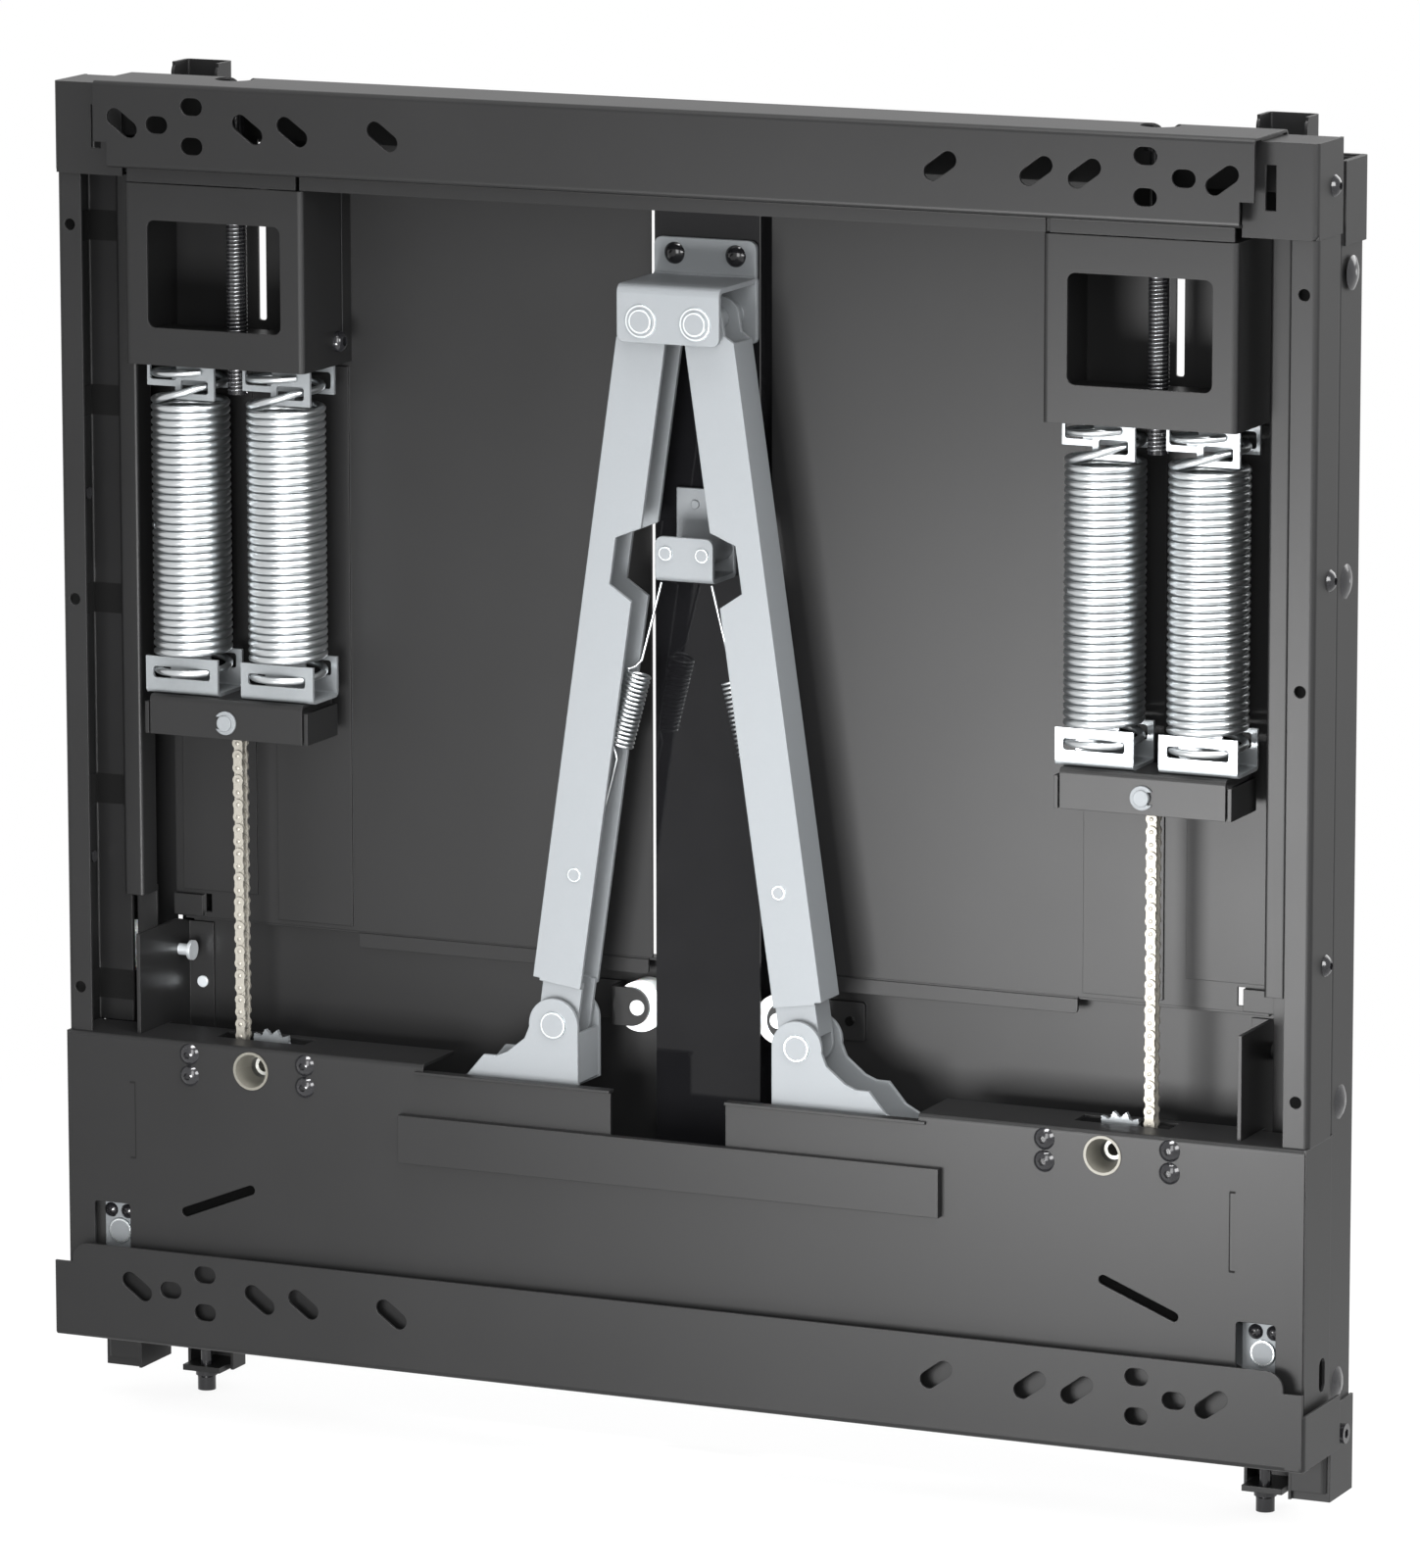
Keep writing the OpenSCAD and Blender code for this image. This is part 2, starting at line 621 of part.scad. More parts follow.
// Columns
screw_d = 34;
column_hole_z = [245.6, 53.6, -148.3];
rail_face = half_w - 21.3;
module column_shape() color(charcoal) difference() {
  mid = sheet_t / 2;
  xy(-panel_drop, end_low) polygon(folded([[half_w - column_face, column_d + mid],
    [half_w - mid, column_d + mid], [half_w - mid, column_back - mid],
    [rail_face, column_back - mid]], sheet_t, bend_r));
  for (z = column_hole_z) rod_y(half_w - 7, z, column_hole / 2, column_d - 1, column_d + 3);
  for (i = [1, 2]) rod_x(half_w - 3, half_w + 1, screw_d, side_screw_z[i], 3 + screw_play);
}

module column_left() on_side(-1) column_shape();
module column_right() column_shape();

// Inner rails between the columns and the back plates
inner_rail_t = 1.5;
inner_rail_w = 11.3;
inner_rail_front = 35;
inner_rail_back = 51;
inner_rail_low = -102.5;
module inner_rails() color(charcoal) both_sides() {
  x0 = rail_face - inner_rail_w;
  difference() {
    xy(inner_rail_low, lip_low) soft_rect([x0, rail_face], [inner_rail_front, inner_rail_back], 1.8);
    blk([x0 + inner_rail_t, rail_face - inner_rail_t],
      [inner_rail_front + inner_rail_t, inner_rail_back - inner_rail_t], [inner_rail_low - 1, lip_low + 1]);
  }
  blk([x0, rail_face], [inner_rail_back - inner_rail_t, inner_rail_back],
        [foot_z + 31, inner_rail_low + 3]);
}

// Back plates with raised fields behind the springs, a hem at the foot and a slot behind each spindle
plate_in = profile_half + 4.4;
plate_out = half_w - 36.5;
field_out = 48.6;
field_gap = 6;
hem_h = 8.5;
plate_low = -117.4;
plate_top = row_z - 3;
module back_plate_shape() color(charcoal) difference() {
  mid = sheet_t / 2;
  union() {
    yz(plate_in, plate_out) polygon(folded([[back_d + mid, plate_low], [back_d + mid, plate_top - mid],
      [top_beam_d, plate_top - mid]], sheet_t, bend_r));
    blk([spring_x - field_out, spring_x - field_gap], [back_d - 1, back_d + 0.1],
      [plate_low + 2.4, box_low - 3]);
    blk([spring_x + field_gap, spring_x + field_out], [back_d - 1, back_d + 0.1],
      [plate_low + 14.4, box_low - 3]);
    blk([plate_out - 16.5, plate_out], [back_d - 2.8, back_d + 0.1], [plate_low + 1, plate_low + 12]);
    xz(back_d, back_d + sheet_t) soft_rect([plate_in + 2.3, spring_x - field_out - 3],
      [plate_low - hem_h, plate_low + 3], 2);
  }
  xz(back_d - 2, back_d + 4) soft_rect([spring_x - 2.2, spring_x + 2.2],
        [box_low + 18, plate_top - 6], 1.5);
  blk([plate_out - 20.5, plate_out - 16.5], [back_d - 2, back_d + 4], [plate_low + 3, plate_low + 12.4]);
  blk([plate_in - 1, spring_x - field_out - 1], [back_d - 1, back_d + 0.7], [plate_low - 1, plate_low]);
}

module back_plate_left() on_side(-1) back_plate_shape();
module back_plate_right() back_plate_shape();

// Lower back panels, each with a folded ear that carries a guide roller
roller_x = profile_half + 10.1;
roller_front = 60.4;
ear_front = 58;
ear_t = 2;
ear_half = 9.9;
ear_x = roller_x + 3.9;
ear_bend = roller_x + roller_r + 1.5;
ear_base = ear_bend + 27;
foot_z = -row_z - low_beam_drop;
lower_foot = foot_z + 5;
module lower_back_panels() color(charcoal) both_sides() {
  mid = sheet_t / 2;
  yz(profile_half + 2.4, plate_out - 4.5) polygon(folded([[back_d + sheet_t, plate_low - mid],
    [lower_back_d + mid, plate_low - mid], [lower_back_d + mid, lower_foot]], sheet_t, bend_r));
  xy(-roller_drop - ear_half, -roller_drop + ear_half) polygon(folded([[ear_x, ear_front + ear_t / 2],
    [ear_bend, ear_front + ear_t / 2], [ear_bend, lower_back_d + 0.5]], ear_t, bend_r));
  rod_y(ear_x, -roller_drop, ear_half, ear_front, ear_front + ear_t);
  xz(lower_back_d - ear_t, lower_back_d + 0.1) soft_rect([ear_bend - ear_t / 2, ear_base],
    [-roller_drop - ear_half, -roller_drop + ear_half], 2);
  rod_y(ear_base - 8, -roller_drop, 2.4, lower_back_d - ear_t - 1.2, lower_back_d);
  rod_y(roller_x, -roller_drop, 3, ear_front - 0.9, lower_back_d + 0.2);
  rod_y(roller_x, -roller_drop, 3.9, ear_front - 0.9, ear_front + 0.1);
}

// Front panel
step_x = 136;
step_drop = 3.7;
window_x = [low_pivot_x - 10.7, low_pivot_x + 10.1];
window_top = 17 - low_pivot_drop;
sprocket_x = spring_x - chain_pitch / (2 * sin(180 / teeth));
hole_r = 10;
flange_d = 50;
screw_pair_x = [sprocket_x - 30.7, sprocket_x + 35.3];
screw_pair_z = [-177.6, -188.8];
cover_top = bracket_low - travel - 0.6;
cutout_low = cover_top - 7.6;
module bottom_panel() color(charcoal) difference() {
  mid = sheet_t / 2;
  top = -panel_drop;
  union() {
    both_sides() {
      yz(step_x, half_w - mid) polygon(folded([[panel_d + mid, foot_z], [panel_d + mid, top - mid],
        [flange_d, top - mid]], sheet_t, bend_r));
      blk([half_w - sheet_t, half_w], [panel_d + 0.6, column_back], [foot_z, top]);
      blk([cutout_half, step_x + 4], [panel_d - 1.8, panel_d + 4],
            [top - step_drop - 1.5, top - step_drop]);
    }
    blk([-step_x - 1, step_x + 1], [panel_d, panel_d + sheet_t], [foot_z, top - step_drop]);
  }
  blk([-cutout_half, cutout_half], [panel_d - 3, panel_d + 5], [cutout_low, top + 1]);
  both_sides() {
    blk([step_x - 1, half_w - 40], [46.5, flange_d + 1], [top - 3, top + 1]);
    blk([guide_x - 0.3, guide_x + guide_t + 0.3], [guide_front - 0.5, flange_d + 1], [top - 3, top + 1]);
    blk([rail_face - inner_rail_w - 3, half_w - 1.6], [42, flange_d + 1], [top - 3, top + 1]);
    blk([sprocket_x - 21.8, spring_x + 12], [27, 41], [top - 3, top + 1]);
    rod_y(sprocket_x, -sprocket_drop, hole_r, panel_d - 1, panel_d + 3);
    for (x = screw_pair_x, z = screw_pair_z) rod_y(x, z, 3 + screw_play, panel_d - 1, panel_d + 3);
    slot_y(spring_x + 3.2, -253, 5, 45, -21.8, panel_d - 1, panel_d + 3);
    xz(panel_d - 1, panel_d + 3) soft_rect(window_x, [low_top - 12, window_top], 2);
    side_oval();
  }
}

// Oval hole in the panel's side wall
module side_oval() {
  for (z = [-284, -293]) rod_x(half_w - 4, half_w + 1, 35, z, 4);
  blk([half_w - 4, half_w + 1], [31, 39], [-293, -284]);
}

// Raised cover over the cut-out
cover_front = 5.5;
module panel_cover() color(charcoal) {
  z0 = cover_top - cover_h;
  difference() {
    blk([-cover_half, cover_half], [cover_front, panel_d], [z0, cover_top]);
    blk([-cover_half + sheet_t, cover_half - sheet_t], [cover_front + sheet_t, panel_d + 1],
      [z0 + sheet_t, cover_top - sheet_t]);
  }
}

// Spring boxes
box_front = 10;
box_low = box_top - box_h;
box_r = 4;
module spring_box_shape() color(charcoal) difference() {
  mid = sheet_t / 2;
  x0 = spring_x - box_w / 2;
  x1 = spring_x + box_w / 2;
  union() {
    xy(box_low, box_top) polygon(folded([[x0 + mid, back_d], [x0 + mid, box_front + mid],
      [x1 - mid, box_front + mid], [x1 - mid, back_d]], sheet_t, bend_r));
    blk([x0 + 1, x1 - 1], [box_front + 1, back_d], [box_top - 2, box_top]);
  }
  xz(box_front - 1, box_front + 3) soft_rect([spring_x - 37.5, spring_x + 37.5],
    [box_low + 19, box_low + 73.5], box_r);
  rod_z(spring_x, spring_d, box_top - 4, box_top + 1, spindle_d / 2 + fit);
}

module spring_box_left() on_side(-1) spring_box_shape();
module spring_box_right() spring_box_shape();

// Sprocket carriers: a plate screwed behind the panel and a hollow bearing
sprocket_d = 34;
carrier_t = 3;
carrier_d = panel_d + sheet_t;
module sprocket_carriers() color(zinc) both_sides() difference() {
  union() {
    blk([screw_pair_x[0] - 7, screw_pair_x[1] + 7], [carrier_d, carrier_d + carrier_t],
      [screw_pair_z[1] - 7, screw_pair_z[0] + 4.4]);
    rod_y(sprocket_x, -sprocket_drop, hole_r - 0.1, panel_d - 0.4, carrier_d + 0.1);
    rod_y(sprocket_x, -sprocket_drop, hole_r + 0.6, carrier_d + carrier_t - 0.1, sprocket_d - 3.2);
    rod_y(sprocket_x, -sprocket_drop, bearing_d / 2, sprocket_d - 4, sprocket_d + 5);
  }
  translate([sprocket_x, yd(panel_d - 1), -sprocket_drop]) rotate([-90, 0, 0])
    cylinder(r1 = hole_r - 1.3, r2 = 5, h = 16);
  rod_y(sprocket_x, -sprocket_drop, 3.2, panel_d, sprocket_d + 6);
  for (x = screw_pair_x, z = screw_pair_z) rod_y(x, z, 3 + screw_play, carrier_d - 1, carrier_d + 5);
}

module panel_screws() color(screw_black) both_sides()
  for (x = screw_pair_x, z = screw_pair_z) button_screw_y(x, z, panel_d, 3, sheet_t + carrier_t + 1.5);

module side_screws() color(screw_black) for (s = [-1, 1], i = [0:2]) {
  x = s * (i == 0 ? end_out : half_w);
  translate([x, yd(screw_d), side_screw_z[i]]) rotate([0, 0, s * 90]) translate([0, mount_d, 0])
    button_screw_y(0, 0, 0, 3, 5);
}

// Zinc plates that carry the lower arm pivots
pivot_front = 20;
ear_front_d = 17.8;
ear_back_d = 45.2;
pivot_plate_top = 18.4 - low_pivot_drop;
pivot_screw_z = 10.4 - low_pivot_drop;
module pivot_plates() color(zinc) both_sides() difference() {
  union() {
    xz(pivot_front, pivot_front + bracket_t) {
      soft_rect([low_pivot_x - 11, half_w - sheet_t], [-low_pivot_drop - 15, pivot_plate_top], 4);
      translate([half_w - sheet_t - 8, -low_pivot_drop - 15])
            square([8, pivot_plate_top + low_pivot_drop + 15]);
    }
    blk([half_w - sheet_t - 2, half_w - sheet_t], [pivot_front, 42],
          [-low_pivot_drop - 3, pivot_plate_top - 4]);
    rod_y(low_pivot_x, -low_pivot_drop, pivot_d / 2, pivot_front, ear_back_d + 2);
    rod_y(low_pivot_x, -low_pivot_drop, 6.5, pivot_front - 1.4, pivot_front + 0.1);
  }
  for (x = [-4, 5.5])
        rod_y(low_pivot_x + x, pivot_screw_z, 2 + screw_play / 3, pivot_front - 1, pivot_front + 4);
}

module pivot_screws() color(zinc) both_sides() for (x = [-4, 5.5]) difference() {
  union() {
    translate([low_pivot_x + x, yd(pivot_front), pivot_screw_z]) rotate([90, 0, 0]) intersection() {
      cylinder(r = 3.8, h = 2.2);
      translate([0, 0, -2.4]) sphere(r = 4.6, $fn = 32);
    }
    rod_y(low_pivot_x + x, pivot_screw_z, 2, pivot_front - 0.1, pivot_front + bracket_t + 0.2);
  }
  for (a = [45, -45]) translate([low_pivot_x + x, yd(pivot_front - 2.4), pivot_screw_z]) rotate([0, a, 0])
    cube([4, 2.4, 0.8], center = true);
}

// Guide plates on edge, each with an axle for a side roller
guide_x = half_w - 39;
guide_t = 2;
guide_front = 18;
guide_top = -119;
bolt_reach = 8;
roller_d = channel_front + sheet_t + side_roller_r + 0.5;
module guide_plates() color(charcoal) both_sides() {
  yz(guide_x, guide_x + guide_t) polygon([[guide_front, lower_foot + 85], [guide_front, guide_top],
    [62, guide_top], [lower_back_d, guide_top - 3], [lower_back_d, lower_foot],
    [flange_d, lower_foot], [flange_d, lower_foot + 85]]);
  blk([guide_x - 14, guide_x + 0.1], [lower_back_d - sheet_t, lower_back_d],
        [lower_foot + 5, guide_top - 3]);
  rod_y(guide_x - 7.7, guide_top - 34.5, 3, lower_back_d - sheet_t - 1, lower_back_d - 0.1);
  rod_x(guide_x - bolt_reach, channel_out - 3.2, roller_d, -side_roller_drop, 3);
  rod_x(guide_x - bolt_reach, guide_x - bolt_reach + 1.8, roller_d, -side_roller_drop, 5.2);
  rod_x(guide_x + guide_t - 0.1, channel_in + 1.6, roller_d, -side_roller_drop, 4.5);
}

// Upper arm, drawn along its own axis: down from the top pivot to the knee, across is outwards
arm_in = 10.9;
arm_out = arm_w - arm_in;
flange_drop = 12;
neck = 21.7;
tongue_half = 10.8;
mid_rivet = 285.6;
notch = [104, 111.6, 135.6, 141.8];
notch_in = 2;
joggle = 2.5;
module upper_arm_body() {
  circle(arm_in);
  polygon([[-arm_in, 0], [-arm_in, -notch[0]], [notch_in, -notch[1]], [notch_in, -notch[2]],
    [-arm_in, -notch[3]], [-arm_in, neck - upper_len], [arm_out, neck - upper_len],
    [arm_out, -flange_drop], [arm_in, 4 - flange_drop], [arm_in, 0]]);
}

module upper_arm_tongue() {
  translate([0, -upper_len]) circle(tongue_half);
  translate([-tongue_half, -upper_len]) square([2 * tongue_half, neck]);
}

module upper_arm_shape() color(zinc) translate([pivot_x, 0, pivot_z]) rotate([0, -upper_tilt, 0])
difference() {
  end = neck - upper_len;
  union() {
    for (d = [arm_front, arm_back - arm_t]) xz(d, d + arm_t) upper_arm_body();
    for (d = [arm_front + joggle, arm_back - joggle - arm_t]) xz(d, d + arm_t) upper_arm_tongue();
    blk([arm_out - arm_t, arm_out], [arm_front, arm_back], [end, -flange_drop]);
    for (d = [arm_front, arm_back - joggle - arm_t])
      blk([-tongue_half, tongue_half + 1], [d, d + joggle + arm_t], [end - 1.2, end + 1.2]);
    blk([tongue_half - arm_t, arm_out], [arm_front + joggle, arm_back - joggle], [end, end + arm_t]);
    blk([tongue_half - arm_t, tongue_half], [arm_front + joggle, arm_back - joggle],
      [4 - upper_len, end + 1]);
    rod_y(0.4, -mid_rivet, 3.6, arm_front - 0.5, arm_front + 0.1);
    rod_y(0.4, -mid_rivet, 2.5, arm_front, arm_back);
  }
  rod_y(0, 0, pivot_d / 2 + fit, arm_front - 2, arm_back + 2);
  rod_y(0, -upper_len, pivot_d / 2 + 0.5, arm_front - 2, arm_back + 2);
}

module upper_arm_left() on_side(-1) upper_arm_shape();
module upper_arm_right() upper_arm_shape();

// Lower arm, drawn along its own axis from the knee to the carriage pivot
knee_x = pivot_x + upper_len * sin(upper_tilt);
knee_z = pivot_z - upper_len * cos(upper_tilt);
lower_dx = low_pivot_x - knee_x;
lower_dz = -low_pivot_drop - knee_z;
lower_len = norm([lower_dx, lower_dz]);
lower_tilt = atan2(lower_dz, lower_dx);
ear_r = 13.5;
hub_r = 12;
front_end = lower_len - 34;
arm_foot = [98, -31];
function low_edge(a) = arm_foot[1] + (a - arm_foot[0]) * 0.0523;
// Points straight below the knee's inner side, in the arm's own axes
function knee_point(z) = [-ear_r * cos(lower_tilt) + z * sin(lower_tilt),
  ear_r * sin(lower_tilt) + z * cos(lower_tilt)];
web_in = 0.25;
module lower_arm_face() {
  circle(ear_r);
  translate([lower_len, 0]) circle(hub_r);
  polygon([knee_point(0), knee_point(-30), [arm_foot[0], low_edge(arm_foot[0])],
    [lower_len - 10, low_edge(lower_len - 10)], [lower_len + 10, -6.5], [lower_len, hub_r],
    [lower_len - 16, -3.4], [56, -3.4], [43.1, 1.8], [36.9, -1.4], [30.5, -2.1], [17.9, 0.4],
    [12.6, 4.8], [0, 10]]);
}

module lower_arm_shape() color(zinc) translate([knee_x, 0, knee_z]) rotate([0, -lower_tilt, 0])
difference() {
  union() {
    xz(ear_front_d, ear_front_d + arm_t) difference() {
      lower_arm_face();
      translate([front_end, -50]) square([60, 80]);
    }
    xz(ear_back_d - arm_t, ear_back_d) lower_arm_face();
    // inner web under the knee
    rotate([0, lower_tilt, 0])
      blk([web_in - ear_r, web_in - ear_r + arm_t], [ear_front_d + 0.5, ear_back_d - 0.5], [-29, -4]);
    // web along the lower edge, past the sweep of the upper arm
    xz(ear_front_d + 0.5, ear_back_d - 0.5) translate([0, web_in]) polygon([[110, low_edge(110)],
      [front_end - 1, low_edge(front_end - 1)], [front_end - 1, low_edge(front_end - 1) + arm_t],
      [110, low_edge(110) + arm_t]]);
    rod_y(lower_len, 0, 7, pivot_front + bracket_t + run_gap, ear_back_d);
    rod_y(0, 0, 6.8, ear_front_d - 1, ear_front_d + 0.1);
    rod_y(0, 0, 5.6, ear_back_d - 0.1, ear_back_d + 1);
  }
  rod_y(lower_len, 0, pivot_d / 2 + fit, pivot_front, ear_back_d + 2);
}

module lower_arm_left() on_side(-1) lower_arm_shape();
module lower_arm_right() lower_arm_shape();

// Extension spring from the stop bracket to the pin in the upper arm
arm_wire_r = 0.75;
arm_coil_r = 6;
arm_curls = 7;
curl_rings = 8;
eye_end = [stop_half - 2, yd(arm_spring_d), stop_low - arm_wire_r - 0.3];
pin_end = [pivot_x + mid_rivet * sin(upper_tilt) - 2.9, yd(arm_spring_d - 3),
  pivot_z - mid_rivet * cos(upper_tilt) + 1.4];
arm_axis = unit(pin_end - eye_end);
arm_side = unit(cross(arm_axis, [0, 1, 0]));
arm_normal = cross(arm_axis, arm_side);
coil_start = 48;
coil_length = 40;
arm_n = arm_curls * curl_rings;
arm_coil = [for (i = [0:arm_n]) let (a = 360 * i / curl_rings)
  eye_end + arm_axis * (coil_start + coil_length * i / arm_n)
  + arm_coil_r * (cos(a) * arm_side + sin(a) * arm_normal)];
arm_coil_across = [for (i = [0:arm_n]) let (a = 360 * i / curl_rings)
  cos(a) * arm_side + sin(a) * arm_normal];
arm_span = norm(pin_end - eye_end);
arm_path = concat([eye_end, eye_end + arm_axis * (coil_start - 9), eye_end + arm_axis * (coil_start - 3)
  + arm_side * 2], arm_coil, [eye_end + arm_axis * (coil_start + coil_length + 3) + arm_side * 2,
  eye_end + arm_axis * (coil_start + coil_length + 9), eye_end + arm_axis * arm_span]);
arm_across = concat([for (i = [0:2]) arm_side], arm_coil_across, [for (i = [0:2]) arm_side]);
module arm_spring_shape() color(spring_steel) tube(arm_path, arm_across, arm_wire_r);
module arm_spring_left() on_side(-1) arm_spring_shape();
module arm_spring_right() arm_spring_shape();
echo("arm spring least gap mm", least_gap(arm_path, arm_wire_r, curl_rings - 2));

// Balance springs: both ends thread through the slots of the clips
coil_r = (spring_od - wire_d) / 2;
yoke_top = 6.5;
hook_low = yoke_top + 11.9;
body_low = yoke_top + 21.7;
body_high = box_low - 19.7;
hook_high = box_low - 11.9;
end_high = box_low - 4;
wire_r = wire_d / 2;
turns_all = 1.13 + spring_curls + 1.24;
function coil_z(t) = let (b = t - 1.13 - spring_curls)
  t < 0.37 ? hook_low
  : t < 1.13 ? hook_low + (body_low - hook_low) * (t - 0.37) / 0.76
  : b < 0 ? body_low + (body_high - body_low) * (t - 1.13) / spring_curls
  : b < 0.24 ? body_high + (hook_high - body_high) * b / 0.24
  : hook_high + (end_high - hook_high) * (b - 0.24);
spring_n = floor(turns_all * curl_rings);
function coil_at(t) = let (a = 180 - 360 * t) [coil_r * cos(a), yd(spring_d) - coil_r * sin(a), coil_z(t)];
coil_path = [for (i = [0:spring_n]) coil_at(0.02 + i / curl_rings)];
coil_across = [for (i = [0:spring_n]) let (a = 180 - 360 * (0.02 + i / curl_rings))
  [cos(a), -sin(a), 0]];
function run_out(p, q) = p + unit(p - q) * wire_d;
spring_path = concat([run_out(coil_path[0], coil_path[1])], coil_path,
  [run_out(coil_path[spring_n], coil_path[spring_n - 1])]);
spring_across = concat([coil_across[0]], coil_across, [coil_across[spring_n]]);
module balance_springs(s) color(spring_steel) for (e = [-1, 1])
  translate([s * spring_x + e * spring_gap / 2, 0, 0]) tube(spring_path, spring_across, wire_r);
module coil_springs_left() balance_springs(-1);
module coil_springs_right() balance_springs(1);
echo("balance spring least gap mm", least_gap(spring_path, wire_r, curl_rings - 2));

// Spring hanger: a channel on the spindle's nut, inside the box
hanger_top = box_low + 15;
hanger_low = box_low + 1.5;
nut_h = 9;
hanger_half = box_w / 2 - sheet_t - 1.5;
module hanger_shape() color(charcoal) difference() {
  mid = 1;
  union() {
    yz(spring_x - hanger_half, spring_x + hanger_half) polygon(folded([[16 + mid, hanger_low],
      [16 + mid, hanger_top - mid], [55 - mid, hanger_top - mid], [55 - mid, hanger_low]], 2, bend_r));
    translate([spring_x, yd(spring_d), hanger_top - 2 - nut_h]) cylinder(d = 19, h = nut_h + 0.1, $fn = 6);
  }
  rod_z(spring_x, spring_d, hanger_low - 20, hanger_top + 1, spindle_d / 2 + fit);
}

module spring_hanger_left() on_side(-1) hanger_shape();
module spring_hanger_right() hanger_shape();

// Threaded spindle with a collar on the box and a socket head under the beam's hole
spindle_low = box_low - 16;
head_r = 8;
module spindle_shape() color(screw_black) difference() {
  union() {
    rod_z(spring_x, spring_d, spindle_low, top_z - 8, spindle_d / 2);
    rod_z(spring_x, spring_d, box_top + 0.1, box_top + 4, spindle_d / 2 + 3);
    rod_z(spring_x, spring_d, top_z - 12, top_z - 4, head_r);
  }
  translate([spring_x, yd(spring_d), top_z - 9]) cylinder(d = 7, h = 6, $fn = 6);
}

module spindle_left() on_side(-1) spindle_shape();
module spindle_right() spindle_shape();

// Clips. Both sides of the mount use the same hand of clip, as the springs are wound one way
clip_front = 22;
clip_back = 49;
clip_t = 1.8;
module clip_slot(x0, x1, z0, z1, d0) {
  xz(d0 - 1, d0 + clip_t + 1) soft_rect([x0, x1], [z0, z1], 1.6);
}

module upper_clip(c) {
  top = hanger_top - 2;
  low = hanger_low - 20;
  mid = clip_t / 2;
  difference() {
    yz(c - 17.5, c + 20.4) polygon(folded([[clip_front + mid, low], [clip_front + mid, top - mid],
      [clip_back + mid, top - mid], [clip_back + mid, low + 3]], clip_t, bend_r));
    blk([c - 18, c - 1.6], [clip_front - 1, clip_front + 3], [low - 1, low + 6.4]);
    clip_slot(c + 1.6, c + 17, hook_high - 3.6, hook_high + 3.4, clip_front);
    clip_slot(c - 16, c - 0.8, end_high - 5, end_high + 3, clip_front);
    clip_slot(c + 2.4, c + 18.6, hook_high - 1, hook_high + 7.7, clip_back);
    clip_slot(c - 16, c - 3.4, end_high - 7.2, end_high + 3, clip_back);
    rod_z(c < 0 ? -spring_x : spring_x, spring_d, top - 14, top + 1, 10.5);
  }
}

module lower_clip(c) {
  base = yoke_top;
  mid = clip_t / 2;
  difference() {
    yz(c - 20.3, c + 20.6) polygon(folded([[clip_front + mid, hook_low + 7.2], [clip_front + mid, base + mid],
      [clip_back + mid, base + mid], [clip_back + mid, hook_low + 8.8]], clip_t, bend_r));
    clip_slot(c - 16.2, c + 16.2, hook_low - 3.8, hook_low + 2.1, clip_front);
    clip_slot(c + 2.4, c + 17.4, hook_low - 1.2, hook_low + 6.6, clip_back);
    blk([c - 21, c - 3.6], [clip_back - 1, clip_back + 4], [hook_low + 3.2, hook_low + 9.6]);
  }
}

module upper_clips(s) color(zinc) for (e = [-1, 1]) upper_clip(s * spring_x + e * spring_gap / 2);
module lower_clips(s) color(zinc) for (e = [-1, 1]) lower_clip(s * spring_x + e * spring_gap / 2);
module upper_clips_left() upper_clips(-1);
module upper_clips_right() upper_clips(1);
module lower_clips_left() lower_clips(-1);
module lower_clips_right() lower_clips(1);

// The sprocket sits on the chain's grid of pins, 28 pitches under the yoke pin
chain_above = 28;
chain_below = 5;
chain_end_z = -sprocket_drop - chain_below * chain_pitch;

// Yoke: the crossbar that the springs pull up, with the chain on its pin
yoke_low = -13.8;
yoke_front = 18;
yoke_back = 52;
yoke_half = 46.3;
yoke_pin_z = -sprocket_drop + chain_above * chain_pitch;
yoke_pin_r = 4;
module yoke_shape() color(charcoal) difference() {
  mid = sheet_t / 2;
  union() {
    yz(spring_x - yoke_half + 3, spring_x + yoke_half - 3) polygon(folded([
      [yoke_front + mid, yoke_low], [yoke_front + mid, yoke_top - mid],
      [yoke_back - mid, yoke_top - mid], [yoke_back - mid, yoke_low]], sheet_t, bend_r));
    for (e = [-1, 1]) {
      x = spring_x + e * (yoke_half - 1);
      blk([x - 1, x + 1], [yoke_front + 0.3, yoke_back], [yoke_low, yoke_top - 4]);
      blk([min(x, x - e * 3.2), max(x, x - e * 3.2)], [yoke_front + 2.5, yoke_front + 5],
        [yoke_low + 1, yoke_top - 5]);
      blk([min(x, x - e * 3.2), max(x, x - e * 3.2)], [yoke_back - 3, yoke_back - 1],
        [yoke_low + 1, yoke_top - 5]);
    }
  }
  rod_y(spring_x, yoke_pin_z, yoke_pin_r + 0.1, yoke_front - 1, yoke_back + 1);
}

module yoke_left() on_side(-1) yoke_shape();
module yoke_right() yoke_shape();

// Yoke pin with its spring clip in front
module yoke_pin_shape() color(zinc) {
  rod_y(spring_x, yoke_pin_z, yoke_pin_r, yoke_front - 2.4, yoke_back + 1.5);
  rod_y(spring_x, yoke_pin_z, 6, yoke_back, yoke_back + 1.5);
  difference() {
    rod_y(spring_x, yoke_pin_z, 6, yoke_front - 1.2, yoke_front);
    blk([spring_x + 3, spring_x + 8], [yoke_front - 2, yoke_front + 1],
          [yoke_pin_z - 3.2, yoke_pin_z + 3.2]);
  }
}

module yoke_pin_left() on_side(-1) yoke_pin_shape();
module yoke_pin_right() yoke_pin_shape();

